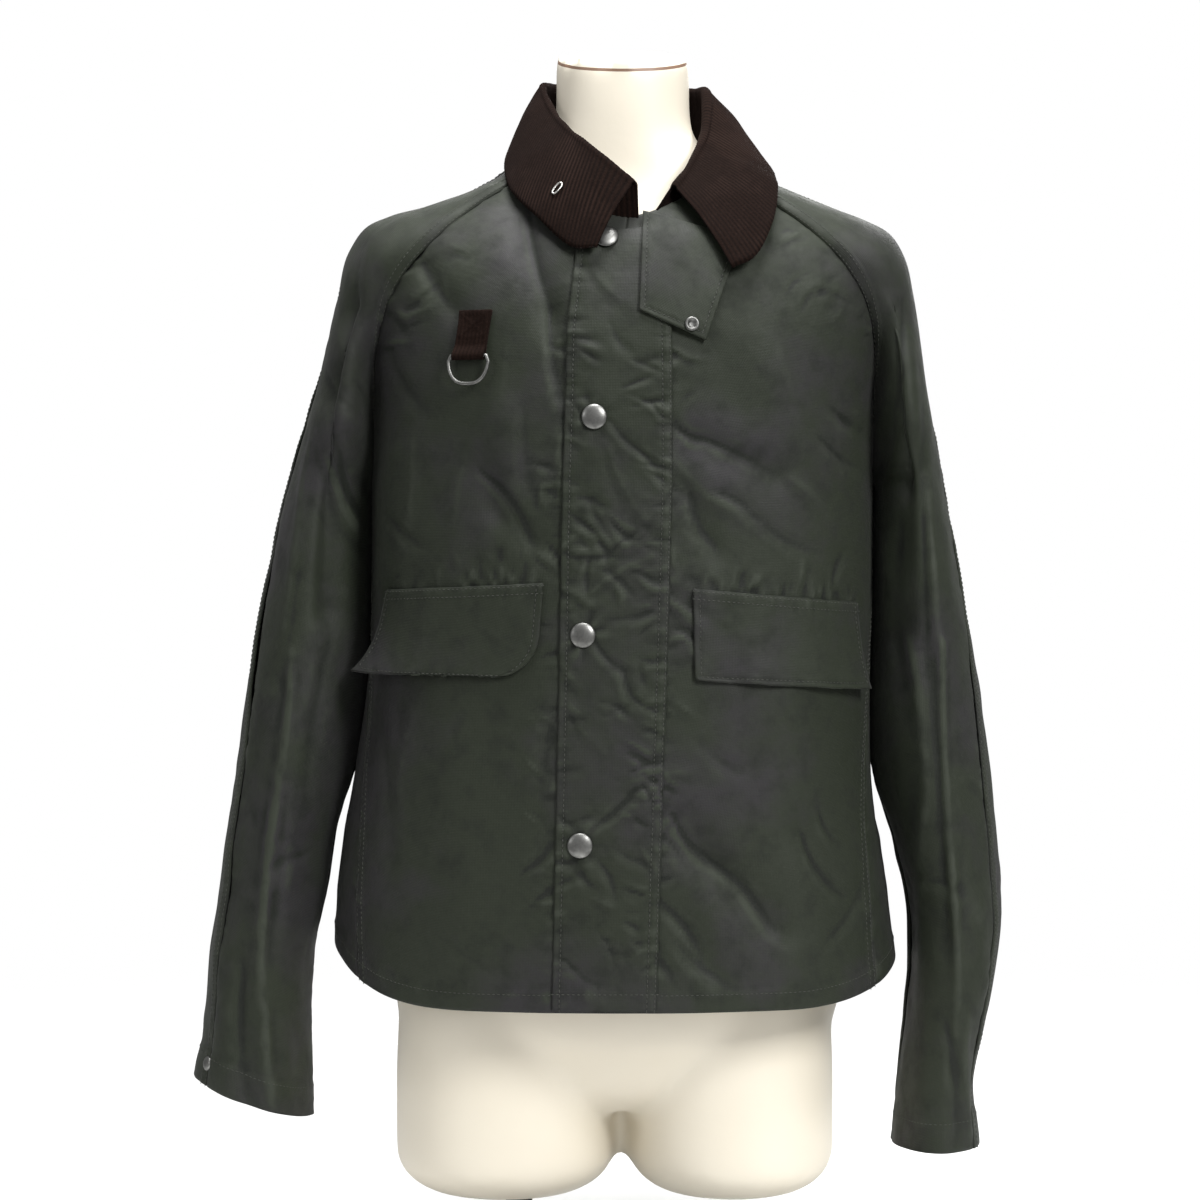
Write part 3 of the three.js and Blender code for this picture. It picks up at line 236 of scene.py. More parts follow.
def ring_body(z, x, y, width, depth, top_slope, segments=96):
    """Points and faces of a closed body through level rings."""
    turn = np.linspace(0, 2 * math.pi, segments + 1)[:-1]
    ys = depth[:, None] * signed_power(np.sin(turn), 2 / 2.15)
    xs = width[:, None] * signed_power(np.cos(turn), 2 / 2.15)
    zs = np.repeat(z[:, None], segments, 1)
    zs[-1] += top_slope * (ys[-1] - depth[-1])
    points = np.stack([xs + x[:, None] + STANCE_X, ys + y[:, None], zs], -1).reshape(-1, 3)
    return points, ring_faces(len(z), segments)


place = np.linspace(0, 19, 150)
torso_points, torso_faces = ring_body(
    *(smooth_value(FORM_RINGS[name], place) for name in ("z", "x", "y", "width", "depth")), NECK_SLOPE
)
form_points, form_faces = [torso_points], list(torso_faces)
place = np.linspace(0, 7, 60)
for thigh in range(2):
    share = np.minimum(smooth_value(THIGH_RINGS["share"], place), 1)
    x, y, width, depth = (THIGHS[name][thigh] for name in ("x", "y", "width", "depth"))
    start = sum(len(points) for points in form_points)
    ones = np.ones_like(share)
    points, faces = ring_body(
        smooth_value(THIGH_RINGS["z"], place), x * ones, y * ones, width * share, depth * share, 0
    )
    form_points.append(points)
    form_faces += [[start + k for k in face] for face in faces]


def settle(obj):
    """Replaces an object's mesh by what its modifiers make of it."""
    shaped = bpy.data.meshes.new_from_object(obj.evaluated_get(bpy.context.evaluated_depsgraph_get()))
    obj.modifiers.clear()
    obj.data = shaped
    shaped.polygons.foreach_set("use_smooth", [True] * len(shaped.polygons))
    return obj


form = mesh_object("dress_form_moulding", np.vstack(form_points), form_faces)
blend_joins = form.modifiers.new("blend joins", "REMESH")
blend_joins.mode = "VOXEL"
blend_joins.voxel_size = 0.005
soften = form.modifiers.new("soften", "SMOOTH")
soften.iterations = 14
soften.factor = 0.6
settle(form)
form.data.name = "dress_form_moulding"


def noise_node(nodes, links, vector, scale, detail=3.0, roughness=0.55):
    node = nodes.new("ShaderNodeTexNoise")
    set_inputs(node, {"Scale": scale, "Detail": detail, "Roughness": roughness})
    links.new(vector, node.inputs["Vector"])
    return node.outputs["Fac"]


def mix_color(nodes, links, mask, first, second):
    """A colour mix; first and second are sockets or plain colours."""
    node = nodes.new("ShaderNodeMix")
    node.data_type = "RGBA"
    links.new(mask, node.inputs["Factor"])
    for socket, value in ((node.inputs[6], first), (node.inputs[7], second)):
        if isinstance(value, tuple):
            socket.default_value = (*value, 1)
        else:
            links.new(value, socket)
    return node.outputs[2]


def math_node(nodes, links, operation, *values):
    """What a maths node makes of sockets or plain numbers."""
    node = nodes.new("ShaderNodeMath")
    node.operation = operation
    for socket, value in zip(node.inputs, values):
        if isinstance(value, (int, float)):
            socket.default_value = value
        else:
            links.new(value, socket)
    return node.outputs[0]


def bump_node(nodes, links, height, strength, distance, under=None):
    """A bump's normal, on top of the normal of another bump if one is given."""
    bump = nodes.new("ShaderNodeBump")
    set_inputs(bump, {"Strength": strength, "Distance": distance})
    links.new(height, bump.inputs["Height"])
    if under:
        links.new(under, bump.inputs["Normal"])
    return bump.outputs["Normal"]


form_paint = plain_material("cream moulding", (0.8, 0.74, 0.62), 0.5)
nodes, links, shader, where = tree_of(form_paint)
clouds = noise_node(nodes, links, where, 7)
specks = noise_node(nodes, links, where, 240, 2)
paint = mix_color(nodes, links, clouds, (0.72, 0.655, 0.535), (0.77, 0.72, 0.61))
# painted shade: a thin dark line standing in for the shadow in the joint where the neck's sloping cap is let
# in
slope = nodes.new("ShaderNodeVectorMath")
slope.operation = "DOT_PRODUCT"
links.new(where, slope.inputs[0])
slope.inputs[1].default_value = (0, -NECK_SLOPE, 1)
NECK_TOP, NECK_BACK = 0.920, 0.045  # the neck's highest edge, in metres
JOINT_SHADOW_BELOW, JOINT_SHADOW_HALF_WIDTH = 0.0035, 0.0011
height = NECK_TOP - NECK_SLOPE * NECK_BACK - JOINT_SHADOW_BELOW
joint_shadow_line = math_node(nodes, links, "COMPARE", slope.outputs["Value"], height, JOINT_SHADOW_HALF_WIDTH)
links.new(mix_color(nodes, links, joint_shadow_line, paint, (0.2, 0.12, 0.08)), shader.inputs["Base Color"])
links.new(spread_of(nodes, links, clouds, 0.3, 0.7, 0.42, 0.58), shader.inputs["Roughness"])
links.new(bump_node(nodes, links, specks, 0.12, 0.0004), shader.inputs["Normal"])
form.data.materials.append(form_paint)


def stand_for(obj, node, slot, body="root"):
    """Rides a finished piece on a body, in the place of a node. The slot argument is not used."""
    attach(obj, body)
    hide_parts(node)


stand_for(form, "dress_form", "form")


# The stand: a black fitting under the wearer's right thigh holds a steel rod, which is screwed into a
# turned foot on a round steel plate. All four are turned pieces with small rounded edges.
def turned(name, outline, centre, axis, segments, material):
    """A closed turned piece: outline rows are (radius, height) in millimetres, along axis."""
    axis = Vector(axis).normalized()
    turn = Vector((0, 0, 1)).rotation_difference(axis)
    ring_shaped = outline[0] == outline[-1]
    if ring_shaped:
        outline = outline[:-1]
    points = []
    for radius, height in outline:
        for i in range(segments):
            angle = 2 * math.pi * i / segments
            level = Vector((radius * math.cos(angle), radius * math.sin(angle), height))
            points.append(turn @ level + Vector(centre))
    obj = mesh_object(name, points, ring_faces(len(outline), segments, ring_shaped))
    obj.data.materials.append(material)
    return obj


def rounded_outline(outline, radius):
    """The outline with each corner cut by a small three-point round."""
    out = []
    last = len(outline) - 1
    for i, here in enumerate(outline):
        if i in (0, last):
            out.append(here)
            continue
        here = np.array(here, float)
        before = np.array(outline[i - 1], float) - here
        after = np.array(outline[i + 1], float) - here
        reach = min(radius, np.linalg.norm(before) / 2, np.linalg.norm(after) / 2)
        start = here + before / np.linalg.norm(before) * reach
        end = here + after / np.linalg.norm(after) * reach
        middle = (start + end) / 4 + here / 2
        out += [tuple(start), tuple(middle), tuple(end)]
    return out


def metal_material(name, color, roughness, tarnish):
    """Dull plated metal: cloudy roughness, fine scratches and darker tarnish."""
    material = plain_material(name, color, roughness)
    nodes, links, shader, where = tree_of(material)
    shader.inputs["Metallic"].default_value = 1
    clouds = noise_node(nodes, links, where, 160, 4)
    scratches = noise_node(nodes, links, where, 900, 2)
    dark = tuple(value * (1 - tarnish) for value in color)
    mask = spread_of(nodes, links, clouds, 0.35, 0.65, 0, 1)
    links.new(mix_color(nodes, links, mask, color, dark), shader.inputs["Base Color"])
    cloudy = spread_of(nodes, links, clouds, 0.3, 0.7, roughness - 0.08, roughness + 0.12)
    links.new(cloudy, shader.inputs["Roughness"])
    links.new(bump_node(nodes, links, scratches, 0.15, 0.0002), shader.inputs["Normal"])
    return material


stand_steel = metal_material("brushed stand steel", (0.5, 0.5, 0.49), 0.34, 0.18)
black_fitting = plain_material("black fitting", (0.012, 0.012, 0.012), 0.45)
nodes, links, shader, where = tree_of(black_fitting)
grain = noise_node(nodes, links, where, 500, 2)
links.new(spread_of(nodes, links, grain, 0.3, 0.7, 0.38, 0.55), shader.inputs["Roughness"])
ROD_X = -76 + STANCE_X
PLATE_X = -14 + STANCE_X
stand_parts = [
    ("base_plate_steel", "base_plate", PLATE_X, 0, 128, stand_steel, "stand_metal",
     rounded_outline([(1, 0), (185, 0), (185, 6), (1, 6)], 1.6)),
    ("foot_steel", "stand_foot", ROD_X, 0, 64, stand_steel, "stand_metal",
     [(6.3, 6.3), *rounded_outline([(6.3, 6.3), (18, 6.3), (18, 12.5), (14, 16.3), (6.3, 16.3)], 0.9),
      (6.3, 6.3)]),
    ("rod_steel", "stand_rod", ROD_X, 0, 48, stand_steel, "stand_metal",
     rounded_outline([(0.5, 6.3), (6, 6.3), (6, 80), (0.5, 80)], 0.8)),
    ("socket_moulding", "stand_socket", ROD_X, 0, 48, black_fitting, "stand_socket",
     [(6.3, 36), *rounded_outline([(6.3, 36), (10, 36), (10, 80), (6.3, 80)], 0.8), (6.3, 36)]),
]
for name, node, x, y, segments, material, slot, outline in stand_parts:
    piece = turned(name, outline, (x, y, 0), (0, 0, 1), segments, material)
    stand_for(piece, node, slot)


# The back: one panel of waxed cotton from seam to seam, hung from the neck and the raglan seams, with
# a turned hem. The pattern's curves are set out here, and the fronts and sleeves use them too.
ROUNDNESS = 2.35
UNDERARM = 592
MEAN_HEM = 214
WALL = 2  # the solid's wall; a shell's outer face lies on the solid's outer face
CLOTH = 1.5  # thickness of the shells
HEM_TURN = 14  # width of the turned hem
CUFF_TURN = 23  # width of the turned cuff
PLACKET_FREE = 32  # from the middle line to the placket's free edge
PLACKET_SEWN = 34  # from the middle line to its sewn edge
HEM = {"front": 213, -1: 250, 1: 238, "back": 224}
TORSO = table(
    "z right left front back seam",
    [
        (205, 213, 209, 151, 141, 61), (290, 211, 199, 149, 138, 64), (360, 200, 188, 146, 134, 70),
        (440, 188, 186, 143, 131, 78), (520, 184, 187, 140, 128, 86), (592, 184, 188, 137, 127, 90),
    ],
)
FRONT_RAGLAN = table(
    "right left y z",
    [
        (184, 188, 0, 592), (183, 187.5, -22, 619), (181.5, 187, -38, 652), (179, 186, -56, 684),
        (171, 180, -74, 716), (156, 166, -85, 742), (133, 143, -84, 767), (106, 114, -70, 790),
        (62, 66, -38, 820),
    ],
)
BACK_RAGLAN = table(
    "right left y z",
    [
        (184, 188, 0, 592), (182.5, 187, 25, 622), (180, 185, 46, 656), (173, 179, 67, 692),
        (160, 166, 84, 726), (138, 143, 93, 758), (108, 114, 93, 788), (78, 83, 83, 814),
        (49, 54, 68, 836),
    ],
)
CENTRE_BACK = table(
    "x y z", [(0, 127, 592), (0, 127, 650), (0, 122, 710), (0, 108, 770), (1, 90, 810), (2, 76, 836)]
)


def column_of(side):
    return "right" if side < 0 else "left"


def across(angle):
    return signed_power(np.sin(angle), 2 / ROUNDNESS)


def ahead(angle):
    return signed_power(np.cos(angle), 2 / ROUNDNESS)


def place_of_height(z):
    rows = TORSO["z"]
    i = np.clip(np.searchsorted(rows, z, side="left") - 1, 0, len(rows) - 2)
    return i + (z - rows[i]) / (rows[i + 1] - rows[i])


def ring_point(side, z, angle):
    place = place_of_height(z)
    half = smooth_value(TORSO[column_of(side)], place)
    depth = np.where(
        angle < math.pi / 2, smooth_value(TORSO["front"], place), smooth_value(TORSO["back"], place)
    )
    return np.stack([side * half * across(angle), -depth * ahead(angle), z], -1)


def curve_through(points):
    """A smooth curve through points, read by its share of the spans between them."""
    points = np.array(points, float)
    last = len(points) - 1
    padded = np.vstack([2 * points[0] - points[1], points, 2 * points[-1] - points[-2]])

    def gap(a, b):
        return np.maximum(((a - b) ** 2).sum(-1, keepdims=True), 1e-8) ** 0.25

    def at(share):
        place = np.clip(share, 0, 1) * last
        i = np.minimum(place.astype(int), last - 1)
        f = (place - i)[..., None]
        a, b, c, d = (padded[i + k] for k in range(4))
        before, here, after = gap(b, a), gap(c, b), gap(d, c)
        start = ((b - a) / before - (c - a) / (before + here) + (c - b) / here) * here
        end = ((c - b) / here - (d - b) / (here + after) + (d - c) / after) * here
        return b + start * f + (3 * (c - b) - 2 * start - end) * f**2 + (2 * (b - c) + start + end) * f**3

    return at


def by_length(curve):
    """The same curve, read by its share of the length."""
    shares = np.linspace(0, 1, 801)
    steps = np.linalg.norm(np.diff(curve(shares), axis=0), axis=1)
    reach = np.concatenate([[0], np.cumsum(steps)]) / steps.sum()
    return lambda share: curve(np.interp(np.clip(share, 0, 1), reach, shares))


def raglan(rows, side):
    return by_length(curve_through(np.column_stack([side * rows[column_of(side)], rows["y"], rows["z"]])))


front_raglan = {side: raglan(FRONT_RAGLAN, side) for side in (-1, 1)}
back_raglan = {side: raglan(BACK_RAGLAN, side) for side in (-1, 1)}
centre_back = by_length(curve_through(np.column_stack([CENTRE_BACK[name] for name in "xyz"])))


def hem_height(side, angle):
    low = np.where(np.cos(angle) > 0, HEM["front"], HEM["back"])
    return HEM[side] + (low - HEM[side]) * eased(np.abs(np.cos(angle)) * 1.15)


def level_of(v):
    """Mean height of a place on the body's panels, from the hem to under the arm."""
    return MEAN_HEM + (UNDERARM - MEAN_HEM) * v


def seam_angle(v):
    return np.radians(smooth_value(TORSO["seam"], place_of_height(level_of(v))))


def back_half(side, reach, v):
    low = np.minimum(v, 1)
    seam = seam_angle(low)
    angle = math.pi - (math.pi - seam) * reach
    lower = ring_point(side, hem_height(side, angle) * (1 - low) + UNDERARM * low, angle)
    q = np.clip(v - 1, 0, 1)
    centre, end = centre_back(q), back_raglan[side](q)
    turn = np.arccos(signed_power(end[..., 1] / centre[..., 1], ROUNDNESS / 2))
    angle = turn * reach
    sideways = across(angle) / across(turn)
    backward = (ahead(angle) - ahead(turn)) / (1 - ahead(turn))
    extra = (np.maximum(v - 1, 0) - q) * 200
    upper = np.stack(
        [
            centre[..., 0] + (end[..., 0] - centre[..., 0]) * sideways,
            end[..., 1] + (centre[..., 1] - end[..., 1]) * backward - extra * 0.5,
            centre[..., 2] + (end[..., 2] - centre[..., 2]) * signed_power(reach, 1.6) + extra,
        ],
        -1,
    )
    return np.where((v <= 1)[..., None], lower, upper)


def plain_back(u, v):
    return np.where((u < 0)[..., None], back_half(-1, np.abs(u), v), back_half(1, np.abs(u), v))


def normal_of(surface, a, b, outward):
    step = 0.004
    sideways = surface(a + step, b) - surface(a - step, b)
    upwards = surface(a, b + step) - surface(a, b - step)
    normal = np.cross(sideways, upwards)
    return outward * normal / np.maximum(np.linalg.norm(normal, axis=-1, keepdims=True), 1e-9)


def fold_depth(folds, point, facing):
    """Depth of the large folds: face is -1 in front and 1 behind, and a trough is negative."""
    depth = np.zeros(point.shape[:-1])
    for face, x1, z1, x2, z2, width, deep in folds:
        dx, dz = x2 - x1, z2 - z1
        length = math.hypot(dx, dz)
        along = ((point[..., 0] - x1) * dx + (point[..., 2] - z1) * dz) / length
        aside = ((point[..., 0] - x1) * dz - (point[..., 2] - z1) * dx) / length
        past = np.maximum(0, np.maximum(-along, along - length))
        distance = np.hypot(aside, past * 0.7) / width
        depth += deep * eased(facing * face * 1.6) * np.exp(-distance * distance)
    return depth


def folded(surface, folds, outward):
    def shaped(a, b):
        point = surface(a, b)
        normal = normal_of(surface, a, b, outward)
        return point + normal * fold_depth(folds, point, normal[..., 1])[..., None]

    return shaped


def crease_depth(creases, point, facing):
    """Finer creases: a trough or ridge with the cloth pushed the other way on one side of it. Each
    starts narrow and grows wider; bow bends its middle."""
    depth = np.zeros(point.shape[:-1])
    for face, x1, z1, x2, z2, width, deep, bow in creases:
        dx, dz = x2 - x1, z2 - z1
        length = math.hypot(dx, dz)
        along = ((point[..., 0] - x1) * dx + (point[..., 2] - z1) * dz) / length
        aside = ((point[..., 0] - x1) * dz - (point[..., 2] - z1) * dx) / length
        share = np.clip(along / length, 0, 1)
        aside = aside - bow * 4 * share * (1 - share)
        past = np.maximum(0, np.maximum(-along, along - length))
        taper = 0.35 + 0.65 * np.sin(math.pi * np.clip(0.12 + 0.8 * share, 0, 1))
        end = bell(past, 1.3 * width) * taper
        reach = width * (0.5 + 0.35 * share)
        core = bell(aside, reach)
        beside = bell(aside - 2 * reach, 1.4 * reach)
        depth += 0.72 * deep * eased(facing * face * 1.8) * end * (core - 0.35 * beside)
    return depth


def waves(x, y, size, seed):
    """Smooth random waves between -1 and 1, size millimetres across."""
    lattice = np.random.default_rng(seed).uniform(-1, 1, (97, 97))
    i, j = np.floor(x / size).astype(int), np.floor(y / size).astype(int)
    f, g = eased(x / size - i), eased(y / size - j)
    corner = [lattice[(i + a) % 97, (j + b) % 97] for a in (0, 1) for b in (0, 1)]
    return (corner[0] * (1 - g) + corner[1] * g) * (1 - f) + (corner[2] * (1 - g) + corner[3] * g) * f


def crumple(x, y, seed, height=1.0):
    """Soft dents of stiff waxed cloth that has been worn."""
    bend_x = x + 9 * waves(x, y, 31, seed + 1)
    bend_y = y + 9 * waves(x, y, 27, seed + 2)
    dents = 0.75 * waves(bend_x, bend_y, 44, seed + 3) + 0.4 * waves(bend_x, bend_y, 19, seed + 4)
    fine = waves(bend_x * 0.8 + bend_y * 0.6, bend_y * 0.5 - bend_x * 0.4, 8, seed + 5)
    patches = eased(0.2 + 0.9 * waves(x, y, 58, seed + 7))
    return height * (0.9 * dents + 0.35 * patches * fine)


def small_creases(seed, face, x1, z1, x2, z2, count, reach, lean=90, deep=1.0):
    """Rows of short creases beside a sewn line, each with its own length, lean and depth."""
    pick = np.random.default_rng(seed)
    line = math.atan2(z2 - z1, x2 - x1)
    rows = []
    for _ in range(count):
        share, off = pick.uniform(), pick.normal(0, reach)
        angle = line + math.radians(lean + pick.normal(0, 26))
        half = pick.uniform(4, 13)
        x = x1 + (x2 - x1) * share - off * math.sin(line)
        z = z1 + (z2 - z1) * share + off * math.cos(line)
        dx, dz = half * math.cos(angle), half * math.sin(angle)
        depth = deep * pick.uniform(0.4, 1.3) * (1 if pick.uniform() < 0.3 else -1)
        width, bow = pick.uniform(2.6, 4.2), pick.uniform(-2, 2)
        rows.append((face, x - dx, z - dz, x + dx, z + dz, width, depth, bow))
    return rows


def seam_puckers(distance, along, seed, size=7.5, reach=9, height=0.6):
    """Ripples across a sewn line, each its own length, that fade away from it."""
    level = 0 * along
    ripple = waves(along, level + seed, size, seed) + 0.5 * waves(along, level, size * 0.45, seed + 1)
    ripple = ripple * (0.65 + 0.6 * waves(along, level + 5, 41, seed + 3))
    long = reach * (0.8 + 0.5 * waves(along, level + 3, size * 1.3, seed + 2))
    return height * ripple * bell(distance, np.maximum(long, 2))


def step_up(distance, width, height):
    """A double layer of cloth from a sewn edge to width, with soft shoulders."""
    return height * (1 - eased((distance - width) / 1.8))


def run_lengths(grid):
    """Lengths along the rows and up the columns of a grid of points."""
    rows = np.linalg.norm(np.diff(grid, axis=1), axis=-1)
    columns = np.linalg.norm(np.diff(grid, axis=0), axis=-1)
    return (
        np.concatenate([np.zeros((len(grid), 1)), np.cumsum(rows, 1)], 1),
        np.concatenate([np.zeros((1, grid.shape[1])), np.cumsum(columns, 0)], 0),
    )


def grid_normals(grid):
    along = np.empty_like(grid)
    along[:, 1:-1] = grid[:, 2:] - grid[:, :-2]
    along[:, 0], along[:, -1] = grid[:, 1] - grid[:, 0], grid[:, -1] - grid[:, -2]
    up = np.empty_like(grid)
    up[1:-1] = grid[2:] - grid[:-2]
    up[0], up[-1] = grid[1] - grid[0], grid[-1] - grid[-2]
    normal = np.cross(along, up)
    return normal / np.maximum(np.linalg.norm(normal, axis=-1, keepdims=True), 1e-9)


def blurred(values, times):
    for _ in range(times):
        padded = np.pad(values, 1, mode="edge")
        values = (padded[:-2, 1:-1] + padded[2:, 1:-1] + padded[1:-1, :-2] + padded[1:-1, 2:] + values) / 5
    return values


def cloth_shell(name, middle, relief, thickness, material, lift=WALL / 2):
    """A sheet of cloth with its outer face lift outside a grid of middle points, plus a relief.
    Rows run so that along the row x up to the next row points out of the garment."""
    normals = grid_normals(middle)
    outer = middle + normals * (lift + relief)[..., None]
    rows, columns = relief.shape
    at = np.arange(rows * columns).reshape(rows, columns)
    faces = np.stack([at[:-1, :-1], at[:-1, 1:], at[1:, 1:], at[1:, :-1]], -1).reshape(-1, 4)
    points = outer.reshape(-1, 3) + (STANCE_X, 0, 0)
    obj = mesh_object(name, points, faces.tolist())
    mesh = obj.data
    along, up = run_lengths(middle)
    along = along - along[:, columns // 2][:, None]
    layer = mesh.uv_layers.new(name="cut")
    uv = np.stack([along, up], -1).reshape(-1, 2) / 1000
    corners = np.empty(len(mesh.loops), int)
    mesh.loops.foreach_get("vertex_index", corners)
    layer.data.foreach_set("uv", uv[corners].ravel())
    # how far the relief stands above its blurred self: it drives the paler rubbed ridges with their painted
    # highlight, and the painted shade in the hollows
    rub = mesh.attributes.new("rub", "FLOAT", "POINT")
    rub.data.foreach_set("value", np.clip(0.5 + (relief - blurred(relief, 8)) * 0.8, 0, 1).ravel())
    wall = obj.modifiers.new("cloth thickness", "SOLIDIFY")
    wall.thickness = thickness / 1000
    wall.offset = -1
    obj.data.materials.append(material)
    return obj, outer, normals


def group_with(name, inputs, outputs):
    """An empty shader node group with named sockets."""
    group = bpy.data.node_groups.new(name, "ShaderNodeTree")
    for label, kind, value in inputs:
        socket = group.interface.new_socket(label, in_out="INPUT", socket_type=kind)
        if value is not None:
            socket.default_value = value
    for label, kind in outputs:
        group.interface.new_socket(label, in_out="OUTPUT", socket_type=kind)
    return group, group.nodes.new("NodeGroupInput"), group.nodes.new("NodeGroupOutput")


# the woven face: warp and weft threads in the cut's own directions
weave, weave_in, weave_out = group_with(
    "woven face",
    [("UV", "NodeSocketVector", None), ("Threads per metre", "NodeSocketFloat", 900.0)],
    [("Threads", "NodeSocketFloat")],
)
bands = []
for direction in ("X", "Y"):
    stretch = weave.nodes.new("ShaderNodeVectorMath")
    stretch.operation = "SCALE"
    weave.links.new(weave_in.outputs["UV"], stretch.inputs[0])
    weave.links.new(weave_in.outputs["Threads per metre"], stretch.inputs["Scale"])
    band = weave.nodes.new("ShaderNodeTexWave")
    band.bands_direction = direction
    set_inputs(band, {"Scale": 0.31, "Distortion": 1.4, "Detail": 2})
    weave.links.new(stretch.outputs[0], band.inputs["Vector"])
    bands.append(band)
both = math_node(weave.nodes, weave.links, "MULTIPLY", *(band.outputs["Fac"] for band in bands))
weave.links.new(both, weave_out.inputs["Threads"])

# wear and painted light: paler rubbed ridges that also carry a painted highlight, and darker hollows of
# painted shade, from the relief, broken up by noise
wear_and_shading, wear_in, wear_out = group_with(
    "rubbed cloth",
    [
        ("Position", "NodeSocketVector", None),
        ("Rub and shading", "NodeSocketFloat", 0.5),
        ("Patch size", "NodeSocketFloat", 9.0),
    ],
    [("Ridge wear and highlight", "NodeSocketFloat"), ("Hollow shade", "NodeSocketFloat"), ("Patches", "NodeSocketFloat")],
)
patch = wear_and_shading.nodes.new("ShaderNodeTexNoise")
set_inputs(patch, {"Detail": 5, "Roughness": 0.6})
wear_and_shading.links.new(wear_in.outputs["Position"], patch.inputs["Vector"])
wear_and_shading.links.new(wear_in.outputs["Patch size"], patch.inputs["Scale"])
flecks = noise_node(wear_and_shading.nodes, wear_and_shading.links, wear_in.outputs["Position"], 130, 4, 0.65)
broken = math_node(wear_and_shading.nodes, wear_and_shading.links, "MULTIPLY_ADD", flecks, 0.3, wear_in.outputs["Rub and shading"])
for label, value, low, high in (
    ("Ridge wear and highlight", broken, 0.74, 1.05),
    ("Hollow shade", broken, 0.58, 0.3),
    ("Patches", patch.outputs["Fac"], 0.48, 0.64),
):
    wear_and_shading.links.new(spread_of(wear_and_shading.nodes, wear_and_shading.links, value, low, high, 0, 1), wear_out.inputs[label])


def worn_and_shaded_cloth(nodes, links, where, attribute, patch_size=9.0):
    """The wear, painted highlight and painted shade on a cloth, read from one of its mesh attributes, and
    that attribute's value.
    """
    value = nodes.new("ShaderNodeAttribute")
    value.attribute_name = attribute
    worn_and_shaded = nodes.new("ShaderNodeGroup")
    worn_and_shaded.node_tree = wear_and_shading
    worn_and_shaded.inputs["Patch size"].default_value = patch_size
    links.new(where, worn_and_shaded.inputs["Position"])
    links.new(value.outputs["Fac"], worn_and_shaded.inputs["Rub and shading"])
    return worn_and_shaded.outputs, value.outputs["Fac"]


def waxed_cotton(name, olive, slate, ridge, hollow_shade_and_wax):
    """Dark olive waxed cotton: mottled wax, fine weave, ridges rubbed paler with a painted highlight,
    painted shade in the hollows and a dull uneven sheen.
    """
    material = plain_material(name, olive, 0.6)
    nodes, links, shader, where = tree_of(material)
    worn_and_shaded, _ = worn_and_shaded_cloth(nodes, links, where, "rub")
    woven = nodes.new("ShaderNodeGroup")
    woven.node_tree = weave
    links.new(where.node.outputs["UV"], woven.inputs["UV"])
    base = mix_color(nodes, links, worn_and_shaded["Patches"], olive, slate)
    # painted shade darkens the hollows, and the ridges are made paler for rubbed wear and a painted
    # highlight
    deep = mix_color(nodes, links, worn_and_shaded["Hollow shade"], base, hollow_shade_and_wax)
    light = mix_color(nodes, links, worn_and_shaded["Ridge wear and highlight"], deep, ridge)
    grain = noise_node(nodes, links, where, 420, 3, 0.7)
    dusty = spread_of(nodes, links, grain, 0.45, 0.9, 0, 0.4)
    mottle = noise_node(nodes, links, where, 55, 5, 0.62)
    waxy = spread_of(nodes, links, mottle, 0.5, 0.7, 0, 0.55)
    shaded = mix_color(nodes, links, waxy, mix_color(nodes, links, dusty, light, ridge), hollow_shade_and_wax)
    links.new(shaded, shader.inputs["Base Color"])
    links.new(spread_of(nodes, links, mottle, 0.3, 0.7, 0.54, 0.72), shader.inputs["Roughness"])
    set_inputs(shader, {"Specular IOR Level": 0.26, "Sheen Weight": 0.03, "Sheen Roughness": 0.5})
    threads = bump_node(nodes, links, woven.outputs["Threads"], 0.4, 0.0003)
    wax = noise_node(nodes, links, where, 85, 5, 0.6)
    film = bump_node(nodes, links, wax, 0.5, 0.0009, threads)
    links.new(film, shader.inputs["Normal"])
    return material


waxed = waxed_cotton(
    "waxed cotton",
    olive=(0.0135, 0.0175, 0.0095),
    slate=(0.0185, 0.0175, 0.0185),
    # the ridge colour is paler rubbed cloth and painted highlight; the hollow colour is painted shade, and
    # also the darker wax mottle
    ridge=(0.026, 0.031, 0.021),
    hollow_shade_and_wax=(0.006, 0.0076, 0.005),
)
thread = plain_material("sewing thread", (0.03, 0.033, 0.026), 0.7)
nodes, links, shader, where = tree_of(thread)
twist = noise_node(nodes, links, where, 700, 2)
dye = mix_color(nodes, links, twist, (0.022, 0.024, 0.019), (0.05, 0.053, 0.042))
links.new(dye, shader.inputs["Base Color"])

# stitches: a curve made from sewn lines carries one small thread bead at each pitch
stitch_tree = bpy.data.node_groups.new("stitches", "GeometryNodeTree")
sockets = {}
for label, kind in (
    ("Lines", "NodeSocketGeometry"),
    ("Stitch length", "NodeSocketFloat"),
    ("Gap", "NodeSocketFloat"),
    ("Thread width", "NodeSocketFloat"),
    ("Thread", "NodeSocketMaterial"),
):
    sockets[label] = stitch_tree.interface.new_socket(label, in_out="INPUT", socket_type=kind).identifier
stitch_tree.interface.new_socket("Stitches", in_out="OUTPUT", socket_type="NodeSocketGeometry")
made = {
    key: stitch_tree.nodes.new(kind)
    for key, kind in (
        ("in", "NodeGroupInput"),
        ("curve", "GeometryNodeMeshToCurve"),
        ("pitch", "ShaderNodeMath"),
        ("resample", "GeometryNodeResampleCurve"),
        ("tangent", "GeometryNodeInputTangent"),
        ("align", "FunctionNodeAlignRotationToVector"),
        ("bead", "GeometryNodeMeshUVSphere"),
        ("size", "ShaderNodeCombineXYZ"),
        ("place", "GeometryNodeInstanceOnPoints"),
        ("real", "GeometryNodeRealizeInstances"),
        ("dye", "GeometryNodeSetMaterial"),
        ("out", "NodeGroupOutput"),
    )
}
made["pitch"].operation = "ADD"
made["resample"].mode = "LENGTH"
made["align"].axis = "X"
set_inputs(made["bead"], {"Segments": 6, "Rings": 3, "Radius": 0.5})
